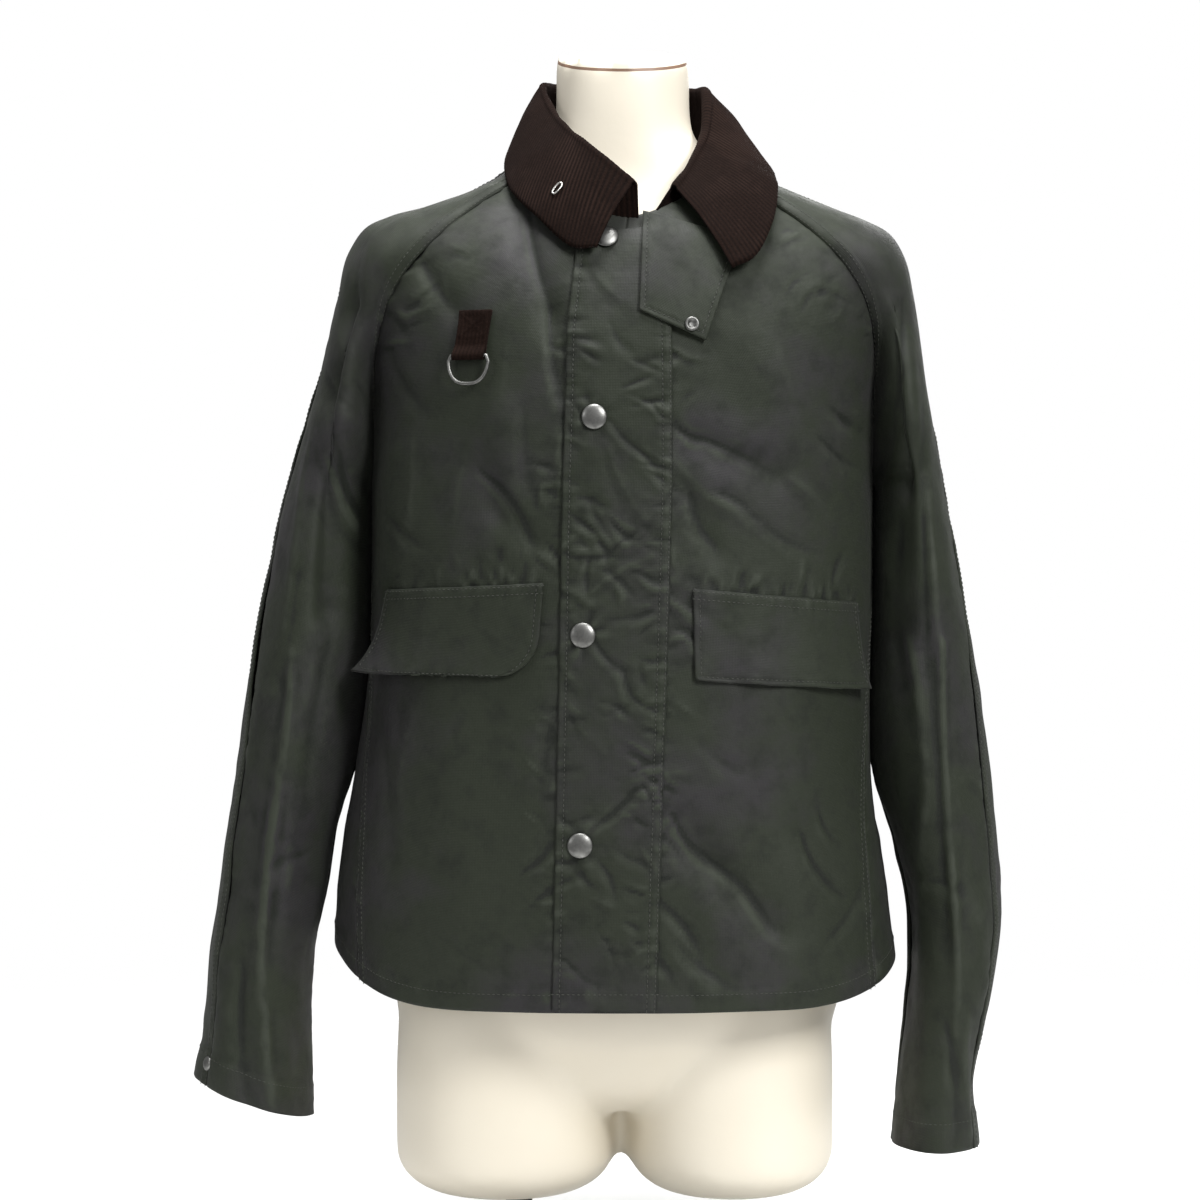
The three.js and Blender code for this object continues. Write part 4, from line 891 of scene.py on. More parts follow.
for start, output, end, socket in (
    ("in", "Lines", "curve", "Mesh"),
    ("in", "Stitch length", "pitch", 0),
    ("in", "Gap", "pitch", 1),
    ("curve", "Curve", "resample", "Curve"),
    ("pitch", 0, "resample", "Length"),
    ("tangent", 0, "align", "Vector"),
    ("in", "Stitch length", "size", "X"),
    ("in", "Thread width", "size", "Y"),
    ("in", "Thread width", "size", "Z"),
    ("resample", "Curve", "place", "Points"),
    ("bead", "Mesh", "place", "Instance"),
    ("align", 0, "place", "Rotation"),
    ("size", 0, "place", "Scale"),
    ("place", "Instances", "real", "Geometry"),
    ("real", "Geometry", "dye", "Geometry"),
    ("in", "Thread", "dye", "Material"),
    ("dye", "Geometry", "out", "Stitches"),
):
    stitch_tree.links.new(made[start].outputs[output], made[end].inputs[socket])


THREAD_RISE = 0.12  # how far the thread lies over the cloth


def sew(name, lines, stitch=2.5, gap=1.1, width=0.6, dye=thread):
    """Stitches along lines of points in millimetres, in the garment's frame."""
    points, edges = [], []
    for line in lines:
        start = len(points)
        points += [tuple(point) for point in (np.asarray(line) + (STANCE_X, 0, 0)) / 1000]
        edges += [(start + i, start + i + 1) for i in range(len(line) - 1)]
    mesh = bpy.data.meshes.new(name)
    mesh.from_pydata(points, edges, [])
    obj = bpy.data.objects.new(name, mesh)
    bpy.context.collection.objects.link(obj)
    stitching = obj.modifiers.new("stitches", "NODES")
    stitching.node_group = stitch_tree
    stitching[sockets["Stitch length"]] = stitch / 1000
    stitching[sockets["Gap"]] = gap / 1000
    stitching[sockets["Thread width"]] = width / 1000
    stitching[sockets["Thread"]] = dye
    settle(obj)
    obj.data.name = name
    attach(obj, "root")
    return obj


def lines_on(outer, normals, along, up):
    """Reads sewn lines off a shell: at a distance from its first or last column (a minus sign counts
    from the last), or along one height above its first or last row."""
    lifted = outer + normals * THREAD_RISE

    def line(distance=None, rows=None, at_row=None):
        if distance is not None:
            reach = along if distance >= 0 else along - along[:, -1:]
            picked = rows or range(len(outer))
            points = [[np.interp(distance, reach[j], lifted[j, :, k]) for k in range(3)] for j in picked]
            return np.array(points)
        reach = up if at_row >= 0 else up - up[-1:]
        columns = range(outer.shape[1])
        points = [[np.interp(at_row, reach[:, i], lifted[:, i, k]) for k in range(3)] for i in columns]
        return np.array(points)

    return line


BACK_FOLDS = [
    (1, -120, 700, -40, 610, 20, -3.5), (1, 125, 700, 50, 600, 20, -3.5), (1, -95, 470, -110, 235, 24, 4),
    (1, 20, 440, 35, 230, 26, -4), (1, 110, 480, 130, 240, 24, 3.5),
]
BACK_CREASES = [
    (1, -158, 640, -104, 590, 7, -1.8, 6), (1, -150, 612, -112, 574, 5, -1.3, -3),
    (1, 160, 650, 112, 596, 7, -1.9, -6), (1, 148, 606, 118, 570, 5, -1.2, 3),
    (1, -60, 742, -12, 716, 8, -1.3, 5), (1, 66, 748, 18, 722, 8, -1.2, -5),
    (1, -72, 560, 10, 532, 8, -1.6, 7), (1, 82, 548, 22, 516, 7, -1.4, -6),
    (1, -40, 508, 44, 496, 6, -1.2, -4), (1, -128, 420, -100, 366, 8, -1.4, 5),
    (1, 146, 410, 118, 352, 8, -1.5, -5), (1, -54, 352, -20, 296, 9, -1.3, 4),
    (1, 70, 338, 92, 276, 9, -1.2, -5), (1, -8, 640, 4, 560, 10, 1.1, 3),
]
BACK_CREASES += small_creases(431, 1, -176, 640, -110, 782, 16, 8)
BACK_CREASES += small_creases(432, 1, 180, 640, 114, 782, 16, 8)
BACK_CREASES += small_creases(433, 1, -150, 236, 160, 232, 16, 8, 80, 0.8)


def level_grid(first, last, columns, rows_below, rows_above):
    """Parameters of a grid: first to last across, and hem to neck up."""
    v = np.concatenate([np.linspace(0, 1, rows_below, endpoint=False), np.linspace(1, 2, rows_above)])
    return np.meshgrid(np.linspace(first, last, columns), v)


u, v = level_grid(1, -1, 126, 102, 74)
back_middle = folded(plain_back, BACK_FOLDS, -1)(u, v)
along, up = run_lengths(back_middle)
from_left, from_right = along, along[:, -1:] - along
back_relief = (
    crease_depth(BACK_CREASES, back_middle, grid_normals(back_middle)[..., 1])
    + crumple(along, up, 11, 0.8)
    + seam_puckers(from_left, up, 21)
    + seam_puckers(from_right, up, 31)
    + seam_puckers(up - HEM_TURN, along, 41, 9, 9, 0.4)
    + step_up(up, HEM_TURN, 0.5)
    - 0.5 * bell(np.minimum(from_left, from_right), 1.6)
)
back, outer, normals = cloth_shell("back_cloth", back_middle, back_relief, CLOTH, waxed)
line = lines_on(outer, normals, along, up)
back_stitches = sew("back_stitches", [line(at_row=HEM_TURN - 1.5)])
stand_for(back, "back", "waxed_cotton")


# The fronts: two panels that meet under the storm placket, with the fly side on top at the side seams.
# Both hang from the raglan seams, and the placket and the flaps pull creases across them.
CENTRE_FRONT = table(
    "x y z", [(-5, -137, 592), (-3.5, -135, 650), (-2, -128, 705), (1, -114, 750), (5, -95, 781)]
)
centre_front = by_length(curve_through(np.column_stack([CENTRE_FRONT[name] for name in "xyz"])))
FRONT_FOLDS = {
    -1: [
        (-1, -72, 772, -50, 708, 11, -3.5), (-1, -50, 708, -42, 660, 9, -2.5),
        (-1, -98, 596, -84, 566, 12, -3.5), (-1, -84, 566, -64, 548, 10, -3),
        (-1, -84, 634, -76, 558, 13, 2.5), (-1, -160, 606, -166, 530, 13, 3),
        (-1, -141, 744, -121, 716, 10, -3), (-1, -120, 430, -112, 250, 22, 3),
    ],
    1: [
        (-1, 46, 342, 60, 324, 12, -3.5), (-1, 60, 324, 106, 275, 14, -5), (-1, 46, 276, 62, 250, 11, -3),
        (-1, 130, 333, 160, 290, 11, -3), (-1, 52, 617, 104, 598, 12, -3), (-1, 48, 580, 64, 546, 10, -2.5),
        (-1, 92, 690, 140, 610, 20, 3), (-1, 120, 420, 132, 240, 24, 3.5),
    ],
}
FRONT_CREASES = {
    -1: [
        (-1, -66, 788, -49, 712, 5, -1.6, 3), (-1, -51, 712, -43, 650, 4, -1.4, 2),
        (-1, -143, 750, -118, 712, 6, -1.3, 3), (-1, -98, 596, -64, 546, 5, -2.0, -6),
        (-1, -112, 606, -117, 538, 8, 1.1, 3), (-1, -150, 616, -158, 532, 8, 1.2, -3),
        (-1, -68, 640, -56, 562, 8, -1.1, 4), (-1, -46, 662, -39, 600, 5, -1.2, -3),
        (-1, -44, 622, -37, 556, 4, 1.1, 2), (-1, -82, 700, -92, 628, 9, 0.9, -4),
        (-1, -68, 314, -49, 333, 5, -1.7, 2), (-1, -62, 290, -42, 302, 5, -1.1, -2),
        (-1, -46, 424, -56, 352, 8, -1.1, 3), (-1, -150, 424, -158, 326, 9, 1.2, 3),
        (-1, -124, 262, -70, 238, 9, -0.9, 4), (-1, -170, 566, -140, 542, 6, -1.2, 2),
        (-1, -166, 684, -138, 640, 7, -1.4, 4), (-1, -174, 420, -166, 300, 7, -1.2, -3),
    ],
    1: [
        (-1, 38, 625, 104, 598, 5, -1.5, -4), (-1, 38, 606, 86, 570, 6, 1.0, 5),
        (-1, 49, 582, 66, 544, 5, -2.0, 4), (-1, 66, 582, 94, 566, 5, -1.5, -3),
        (-1, 34, 566, 40, 526, 4, 1.3, 2), (-1, 100, 562, 142, 540, 7, -1.2, 4),
        (-1, 120, 594, 152, 562, 8, 1.2, -3), (-1, 156, 640, 170, 630, 7, -2.2, 0),
        (-1, 148, 618, 174, 600, 6, -1.4, 2), (-1, 110, 704, 130, 640, 9, 1.0, 4),
        (-1, 38, 352, 60, 322, 5, -2.0, 3), (-1, 60, 322, 106, 272, 6, -2.4, -5),
        (-1, 28, 292, 56, 254, 5, -1.9, -3), (-1, 40, 262, 78, 232, 6, -1.4, 3),
        (-1, 130, 336, 158, 292, 5, -1.8, 4), (-1, 142, 354, 156, 328, 4, -1.2, 2),
        (-1, 150, 262, 178, 302, 7, -1.2, 3), (-1, 60, 402, 92, 382, 8, -1.0, 3),
        (-1, 84, 300, 120, 252, 8, 1.2, 4),
    ],
}


def angle_of_x(side, z, x):
    half = smooth_value(TORSO[column_of(side)], place_of_height(z))
    return np.arcsin(signed_power(side * x / half, ROUNDNESS / 2))


def front_half(side):
    def surface(u, v):
        low = np.minimum(v, 1)
        level = level_of(low)
        seam = seam_angle(low)
        drift = np.clip((UNDERARM - level) / (UNDERARM - HEM["front"]), -0.1, 1.1)
        edge = angle_of_x(side, level, -5 - 10 * drift)
        angle = edge + (seam - edge) * u
        lower = ring_point(side, hem_height(side, angle) * (1 - low) + UNDERARM * low, angle)
        q = np.clip(v - 1, 0, 1)
        centre, end = centre_front(q), front_raglan[side](q)
        turn = np.arccos(signed_power(end[..., 1] / centre[..., 1], ROUNDNESS / 2))
        start = angle_of_x(side, np.full_like(q, UNDERARM), centre[..., 0]) * (1 - q)
        angle = start + (turn - start) * u
        sideways = (across(angle) - across(start)) / (across(turn) - across(start))
        forward = (ahead(angle) - ahead(turn)) / (ahead(start) - ahead(turn))
        extra = (np.maximum(v - 1, 0) - q) * 200
        upper = np.stack(
            [
                centre[..., 0] + (end[..., 0] - centre[..., 0]) * sideways,
                end[..., 1] + (centre[..., 1] - end[..., 1]) * forward + extra * 0.5,
                centre[..., 2] + (end[..., 2] - centre[..., 2]) * signed_power(u, 1.35) + extra,
            ],
            -1,
        )
        return np.where((v <= 1)[..., None], lower, upper)

    return surface


fronts = {side: folded(front_half(side), FRONT_FOLDS[side], side) for side in (-1, 1)}
FLAP_TOP = {-1: ((-168, 512), (-55, 518)), 1: ((51, 514), (170, 503))}
FRONT_CREASES[-1] += small_creases(401, -1, -168, 516, -55, 522, 26, 9)
FRONT_CREASES[-1] += small_creases(402, -1, -46, 700, -52, 240, 24, 7, 70)
FRONT_CREASES[-1] += small_creases(403, -1, -170, 690, -110, 772, 12, 7)
FRONT_CREASES[1] += small_creases(411, -1, 51, 519, 170, 508, 30, 9)
FRONT_CREASES[1] += small_creases(412, -1, 38, 690, 30, 236, 46, 8, 80, 1.2)
FRONT_CREASES[1] += small_creases(413, -1, 178, 690, 118, 776, 12, 7)
FRONT_CREASES[1] += small_creases(414, -1, 50, 514, 52, 450, 12, 8, 60, 1.2)

for side in (-1, 1):
    u, v = level_grid(0 if side > 0 else 1, 1 if side > 0 else 0, 92, 150, 96)
    middle = fronts[side](u, v)
    along, up = run_lengths(middle)
    from_centre = along if side > 0 else along[:, -1:] - along
    from_seam = along[:, -1:] - along if side > 0 else along
    (x1, z1), (x2, z2) = FLAP_TOP[side]
    seam_height = z1 + (z2 - z1) * np.clip((middle[..., 0] - x1) / (x2 - x1), 0, 1)
    beside_flap = bell(np.maximum(np.maximum(x1 - middle[..., 0], middle[..., 0] - x2), 0), 5)
    relief = (
        crease_depth(FRONT_CREASES[side], middle, grid_normals(middle)[..., 1])
        + crumple(along, up, 51 + side, 0.62)
        + seam_puckers(from_seam, up, 61 + side)
        + seam_puckers(up - HEM_TURN, along, 71 + side, 9, 9, 0.4)
        + seam_puckers(np.abs(middle[..., 2] - seam_height - 5), along, 81 + side, 6, 10, 0.8) * beside_flap
        + seam_puckers(np.maximum(from_centre - PLACKET_SEWN, 0), up, 91 + side, 6.5, 14, 0.7)
        + step_up(up, HEM_TURN, 0.5)
        + step_up(from_seam, 9, 0.5) * eased((UNDERARM - middle[..., 2]) / 12)
        - 0.5 * bell(from_seam, 1.6)
    )
    relief *= 0.15 + 0.85 * eased((from_centre - 30) / 10)
    word = column_of(side)
    front, outer, normals = cloth_shell(f"front_{word}_cloth", middle, relief, CLOTH, waxed)
    inward = -1 if side > 0 else 1
    below = list(range(0, 148))
    line = lines_on(outer, normals, along, up)
    stitches = sew(
        f"front_{word}_stitches",
        [line(at_row=HEM_TURN - 1.5), line(1.8 * inward, below), line(8 * inward, below)],
    )
    stand_for(front, f"front_{word}", "waxed_cotton")


# The raglan sleeves: each is cut in two, joined by a felled seam over the arm and one beneath it. They
# hang slightly bent, with deep folds at the armpit and long soft ones down to the cuff.
OVERARM = table(
    "right rightZ left leftZ y",
    [
        (67, 837, 71, 837, 12), (88, 820, 92, 822, 8), (116, 805, 124, 808, 4), (143, 795, 154, 795, 1),
        (170, 787, 182, 784, -1), (189, 778, 199, 774, -3), (201, 760, 209, 757, -4),
        (208, 732, 216, 728, -5), (216, 697, 221, 695, -5), (227, 655, 228, 650, -3),
        (242, 607, 237, 603, 0),
    ],
)
SLEEVES = {
    -1: table(
        "inner innerZ outer outerZ y depth",
        [
            (-187.5, 590, -242, 607, 0, 70), (-188, 540, -257, 545, 0, 72), (-191, 480, -270, 482, -1, 73),
            (-195, 430, -279, 430, -3, 72), (-203, 380, -286, 378, -6, 70),
            (-214, 330, -294, 326, -10, 67), (-220, 290, -298, 290, -15, 63),
            (-229, 245, -304, 247, -20, 60), (-231, 205, -306, 210, -25, 57),
            (-231, 162, -309, 178, -29, 54), (-230, 121, -314, 151, -32, 51),
        ],
    ),
    1: table(
        "inner innerZ outer outerZ y depth",
        [
            (191.5, 590, 237, 603, 0, 74), (191, 540, 248, 543, 0, 76), (190, 480, 259, 481, -1, 76),
            (190, 427, 268, 427, -3, 75), (193, 375, 275, 372, -7, 73), (205, 323, 280, 318, -12, 70),
            (215, 280, 282, 272, -18, 67), (217, 240, 278, 232, -25, 65), (213, 196, 270, 193, -31, 63),
            (207, 148, 261, 148, -37, 61), (203, 103, 264, 104, -42, 59),
        ],
    ),
}
SLEEVE_FOLDS = {
    -1: [
        (-1, -196, 762, -200, 712, 11, -5), (-1, -200, 712, -211, 655, 12, -8),
        (-1, -211, 655, -210, 500, 13, -9), (-1, -228, 330, -292, 292, 15, -1.5),
        (-1, -234, 285, -290, 262, 13, -1.2), (1, -206, 690, -216, 520, 16, -7),
        (1, -230, 340, -296, 310, 16, -3),
    ],
    1: [
        (-1, 200, 726, 210, 712, 14, -6), (-1, 198, 700, 203, 600, 12, -8), (-1, 203, 600, 206, 480, 13, -6),
        (-1, 222, 330, 276, 290, 15, -1.5), (-1, 228, 262, 280, 236, 14, -1.2),
        (1, 206, 690, 212, 520, 16, -7), (1, 222, 330, 278, 300, 16, -3),
    ],
}
SLEEVE_CREASES = {
    -1: [
        (-1, -214, 604, -188, 545, 6, 1.6, 3), (-1, -205, 612, -190, 560, 6, -2.2, 4),
        (-1, -222, 700, -206, 648, 7, -1.2, 3), (-1, -227, 620, -241, 455, 8, 2.6, 4),
        (-1, -241, 465, -255, 330, 7, 2.8, -3), (-1, -254, 345, -263, 185, 7, 3.0, 3),
        (-1, -236, 520, -246, 380, 6, -1.8, 2), (-1, -246, 372, -257, 245, 7, -2.0, -3),
        (-1, -240, 440, -246, 300, 8, 1.7, 4), (-1, -214, 470, -232, 300, 9, -2.2, 5),
        (-1, -268, 420, -282, 250, 10, -1.6, -4), (-1, -276, 230, -272, 138, 8, -3.2, 3),
        (-1, -259, 200, -252, 118, 8, 3.6, 3), (-1, -240, 190, -237, 120, 8, -2.0, -2),
        (-1, -232, 318, -262, 300, 7, -0.9, 4), (1, -214, 640, -240, 520, 8, -1.8, 4),
        (1, -236, 470, -254, 330, 9, -2.0, -5), (1, -262, 400, -276, 240, 8, 2.2, 4),
        (1, -240, 300, -262, 282, 7, -1.6, 4), (1, -250, 240, -262, 130, 8, -2.2, 4),
    ],
    1: [
        (-1, 205, 720, 190, 590, 6, -2.0, -5), (-1, 222, 690, 232, 600, 9, -1.2, 4),
        (-1, 225, 640, 234, 455, 6, 2.2, 3), (-1, 234, 470, 241, 300, 5, 2.6, 2),
        (-1, 241, 312, 243, 180, 6, 2.4, -3), (-1, 213, 470, 223, 330, 9, 2.4, -4),
        (-1, 222, 345, 228, 240, 8, 2.0, 3), (-1, 222, 560, 229, 400, 8, -1.8, 3),
        (-1, 232, 390, 236, 250, 7, -1.7, -2), (-1, 206, 560, 208, 420, 9, -2.0, 3),
        (-1, 250, 330, 262, 230, 9, -1.6, 5), (-1, 266, 300, 268, 210, 8, 1.5, 3),
        (-1, 238, 190, 246, 112, 7, -2.6, -3), (-1, 252, 200, 254, 118, 6, 2.6, 3),
        (-1, 224, 210, 222, 120, 9, 1.8, 2), (-1, 226, 300, 256, 286, 7, -0.9, -3),
        (1, 212, 640, 230, 520, 8, -1.8, -4), (1, 222, 480, 238, 330, 9, -2.0, 5),
        (1, 246, 400, 256, 250, 8, 2.2, -4), (1, 230, 300, 256, 284, 7, -1.6, -4),
        (1, 236, 240, 238, 120, 8, -2.2, -4),
    ],
}


def sleeve_tube(side):
    over_curve = by_length(
        curve_through(
            np.column_stack([side * OVERARM[column_of(side)], OVERARM["y"], OVERARM[column_of(side) + "Z"]])
        )
    )
    rows = SLEEVES[side]

    def surface(s, t):
        upper = np.clip(t, 0, 1)
        front_edge, back_edge = front_raglan[side](1 - upper), back_raglan[side](1 - upper)
        clear = eased((upper - 0.55) / 0.45) * (abs(rows["inner"][0]) - np.abs(front_edge[..., 0]))
        clear = side * np.maximum(clear, 0) * eased(np.minimum(s, 1 - s) / 0.12)
        front_edge[..., 0] += clear
        back_edge[..., 0] += clear
        place = np.clip(t - 1, 0, 1) * (len(rows["y"]) - 1)
        y = smooth_value(rows["y"], place)
        inner = np.stack([smooth_value(rows["inner"], place), y, smooth_value(rows["innerZ"], place)], -1)
        outer = np.stack([smooth_value(rows["outer"], place), y, smooth_value(rows["outerZ"], place)], -1)
        lower = (t > 1)[..., None]
        front_edge, back_edge = np.where(lower, inner, front_edge), np.where(lower, inner, back_edge)
        over = np.where(lower, outer, over_curve(upper))
        closed = np.where(t > 1, 1, eased((upper - 0.3) / 0.7))
        depth = np.where(t > 1, smooth_value(rows["depth"], place), rows["depth"][0] * closed)
        middle = (front_edge + back_edge) / 2
        round_it = np.sin(math.pi * s)
        rise = (1 - closed) * round_it + closed * round_it**2
        point = (
            middle
            + (front_edge - back_edge) * (0.5 * np.cos(math.pi * s))[..., None]
            + (over - middle) * rise[..., None]
        )
        point[..., 1] -= depth * np.sin(2 * math.pi * s)
        return point

    return surface


# heights, and how far the sleeves press out against the body's sides there
SIDE_REST = {
    -1: ([330, 392, 432, 480, 540, 592, 630], [0, 4.6, 4.6, 4.0, 2.2, 1.4, 0]),
    1: ([330, 376, 427, 480, 540, 592, 630], [0, 4.0, 2.4, 1.8, 1.8, 1.4, 0]),
}


def overarm_share(t):
    return 0.5 - 0.12 * eased((t - 0.7) / 0.8)


sleeves = {side: folded(sleeve_tube(side), SLEEVE_FOLDS[side], -side) for side in (-1, 1)}
for side in (-1, 1):
    for part in ("front", "back"):
        t = np.concatenate([np.linspace(0, 1, 92, endpoint=False), np.linspace(1, 2, 150)])
        edge = 0.0 if part == "front" else 1.0
        share = np.linspace(0, 1, 70)
        s = edge + (overarm_share(t)[:, None] - edge) * share[None, :]
        t = np.repeat(t[:, None], len(share), 1)
        flip = (side < 0) != (part == "front")
        middle = sleeves[side](s, t)
        if flip:
            middle = middle[:, ::-1]
        along, down = run_lengths(middle)
        from_first, from_last = along, along[:, -1:] - along
        from_edge, from_over = (from_last, from_first) if flip else (from_first, from_last)
        from_cuff = down[-1:] - down
        below = eased((t - 0.96) * 30)
        seed = 100 + 10 * side + (part == "front")
        relief = (
            1.25 * crease_depth(SLEEVE_CREASES[side], middle, grid_normals(middle)[..., 1])
            + crumple(along + 300 * (part == "front"), down, seed, 1.1)
            + 1.3 * waves(along + 0.08 * down, down * 0.16, 21, seed + 11) * eased((down - 150) / 120)
            + seam_puckers(from_over, down, seed + 30, 7, 9, 0.45)
            + seam_puckers(from_edge, down, seed + 40, 7, 9, 0.4)
            + seam_puckers(np.abs(from_cuff - CUFF_TURN + 1), along, seed + 50, 8, 9, 0.4)
            + step_up(from_cuff, CUFF_TURN, 0.5)
            + step_up(from_edge, 8.5, 0.55) * (1 - below)
            + step_up(from_over, 9, 0.6) * (part == "back")
            - 0.45 * bell(from_over, 1.5)
            - 0.5 * bell(from_edge, 1.5)
            + np.interp(middle[..., 2], *SIDE_REST[side]) * bell(from_edge, 26)
        )
        word = column_of(side)
        name = f"sleeve_{word}_{part}"
        piece, outer, normals = cloth_shell(name + "_cloth", middle, relief, CLOTH, waxed)
        sign = -1 if flip else 1
        above = list(range(3, 90))
        line = lines_on(outer, normals, along, down)
        lines = [line(at_row=2 - CUFF_TURN), line(1.8 * sign, above), line(7.2 * sign, above)]
        if part == "back":
            lines += [line(-1.8 * sign), line(-7.4 * sign)]
        stitches = sew(name + "_stitches", lines)
        stand_for(piece, name, "waxed_cotton")
        width, area = (0.19, 0.1) if part == "front" else (0.25, 0.137)


# The storm placket: a doubled strip of the same cloth over the meeting edges. Its right edge is sewn
# down with two rows, its free edge is stitched once, and the studs pull creases across it.
PLACKET_CREASES = [
    (-1, -6, 631, 26, 604, 4, -1.5, 3), (-1, -30, 640, -22, 626, 3, -0.9, 0),
    (-1, -8, 612, 16, 566, 5, 1.0, 3), (-1, -20, 478, 2, 456, 3.5, -1.6, 2),
    (-1, 2, 456, 12, 432, 3.5, -1.4, 2), (-1, -14, 492, 24, 500, 4, -1.0, 2),
    (-1, -20, 512, 20, 536, 4, 1.1, -3), (-1, -40, 560, 10, 545, 4, 0.9, 3),
    (-1, -18, 346, 10, 372, 4, -1.7, 2), (-1, 10, 372, 26, 382, 4, -1.1, 2),
    (-1, -44, 354, -31, 342, 3.5, -1.3, 0), (-1, -15, 320, -4, 296, 4, -1.3, -2),
    (-1, -4, 330, 24, 318, 4, -1.0, 2), (-1, -38, 250, -10, 232, 5, -1.0, 3),
    (-1, -34, 430, -12, 400, 5, 0.9, 4), (-1, -6, 700, 10, 680, 5, -0.9, 3),
    (-1, -20, 742, 6, 716, 5, 1.0, 3),
]
PLACKET_CREASES += small_creases(421, -1, 24, 690, 17, 236, 60, 6, 80, 1.1)
PLACKET_CREASES += small_creases(422, -1, -30, 720, -42, 236, 34, 5, 80, 0.9)
PLACKET_CREASES += small_creases(423, -1, -8, 580, -14, 500, 26, 14, 60, 1.2)
PLACKET_CREASES += small_creases(424, -1, -8, 440, -14, 240, 18, 14, 60, 1.0)
STUD_PLACES = [(-11, 764), (-19, 636), (-27, 481), (-29, 332)]


def placket_points(v):
    """Middle points of the placket, on the fronts' own middle, from its free edge to its sewn edge."""
    halves = []
    for side, share in ((-1, np.linspace(1, 0.01, 24)), (1, np.linspace(0.01, 1, 24))):
        at = np.full_like(v, 0.1)
        step = np.linalg.norm(fronts[side](at + 0.002, v) - fronts[side](at, v), axis=-1)
        reach = (PLACKET_FREE if side < 0 else PLACKET_SEWN) * 0.002 / step
        u = reach[:, None] * share[None, :]
        rows = np.repeat(v[:, None], len(share), 1)
        point = fronts[side](u, rows)
        halves.append(point + normal_of(fronts[side], u, rows, side) * 2.5)
    return np.concatenate(halves, 1)


middle = placket_points(np.linspace(0.004, 1.93, 300))
# soften the bend over the fronts' meeting edges
for _ in range(3):
    middle[:, 22:26] = (middle[:, 21:25] + middle[:, 22:26] + middle[:, 23:27]) / 3
along, up = run_lengths(middle)
from_free, from_sewn = along, along[:, -1:] - along
relief = (
    crease_depth(PLACKET_CREASES, middle, grid_normals(middle)[..., 1])
    + crumple(along, up, 141, 0.95)
    + seam_puckers(from_free - 3, up, 151, 7, 9, 0.9)
    + seam_puckers(from_sewn - 4.5, up, 161, 5, 9, 1.0)
    + seam_puckers(up - 12, along, 171, 8, 8, 0.4)
    - 0.35 * bell(from_free - 5, 1.2)
    - 0.3 * bell(from_sewn - 1.6, 1.0)
    - 0.3 * bell(from_sewn - 7.2, 1.0)
    - 0.7 * bell(from_sewn, 1.2)
)
for x, z in STUD_PLACES:
    spread = np.hypot(middle[..., 0] - x, middle[..., 2] - z)
    rays = np.arctan2(middle[..., 2] - z, middle[..., 0] - x)
    relief += -0.8 * bell(spread, 12)
    relief += 0.8 * waves(rays * 2.6 + x, 0 * rays + z, 1, 181) * bell(spread - 13, 8)
placket, outer, normals = cloth_shell("placket_cloth", middle, relief, CLOTH, waxed, lift=0.75)
line = lines_on(outer, normals, along, up)
placket_stitches = sew("placket_stitches", [line(5), line(-1.6), line(-7.2), line(at_row=12)], width=0.7)
stand_for(placket, "placket", "waxed_cotton")


# The pocket flaps: doubled cloth sewn along the top and free below. The right one has a rounded front
# corner and juts past the side seam, and the left one is square.
FLAPS = {
    -1: ((-174, 451), (-60, 451), (-168, 512), (-55, 518), 7, 14, 28),
    1: ((52, 449), (173, 439), (51, 514), (170, 503), 4, 4, 3),
}


def on_surface(surface, x, z, a, b, outward, lift, rounds=14):
    """Points of a surface under places of the front view, moved out by lift, and the normals there."""
    step = 0.002
    for _ in range(rounds):
        here = surface(a, b)
        along_a, along_b = (surface(a + step, b) - here) / step, (surface(a, b + step) - here) / step
        det = along_a[..., 0] * along_b[..., 2] - along_b[..., 0] * along_a[..., 2]
        dx, dz = x - here[..., 0], z - here[..., 2]
        a = a + np.clip((dx * along_b[..., 2] - dz * along_b[..., 0]) / det, -0.2, 0.2)
        b = b + np.clip((dz * along_a[..., 0] - dx * along_a[..., 2]) / det, -0.2, 0.2)
    normal = normal_of(surface, a, b, outward)
    return surface(a, b) + normal * np.asarray(lift)[..., None], normal


def lay_on(side, x, z, lift):
    """The same on a front."""
    return on_surface(fronts[side], x, z, np.full_like(x, 0.5), np.full_like(x, 1.0), side, lift, 12)


def spot_on(side, x, z, lift):
    """The same for a single place on a front."""
    points, normals = lay_on(side, np.array([float(x)]), np.array([float(z)]), lift)
    return points[0], normals[0]


def patch(low_right, low_left, top_right, top_left, a, b):
    corners = [np.array(corner, float) for corner in (low_right, low_left, top_right, top_left)]
    low = corners[0] + (corners[1] - corners[0]) * a[..., None]
    high = corners[2] + (corners[3] - corners[2]) * a[..., None]
    place = low + (high - low) * b[..., None]
    return place[..., 0], place[..., 1]


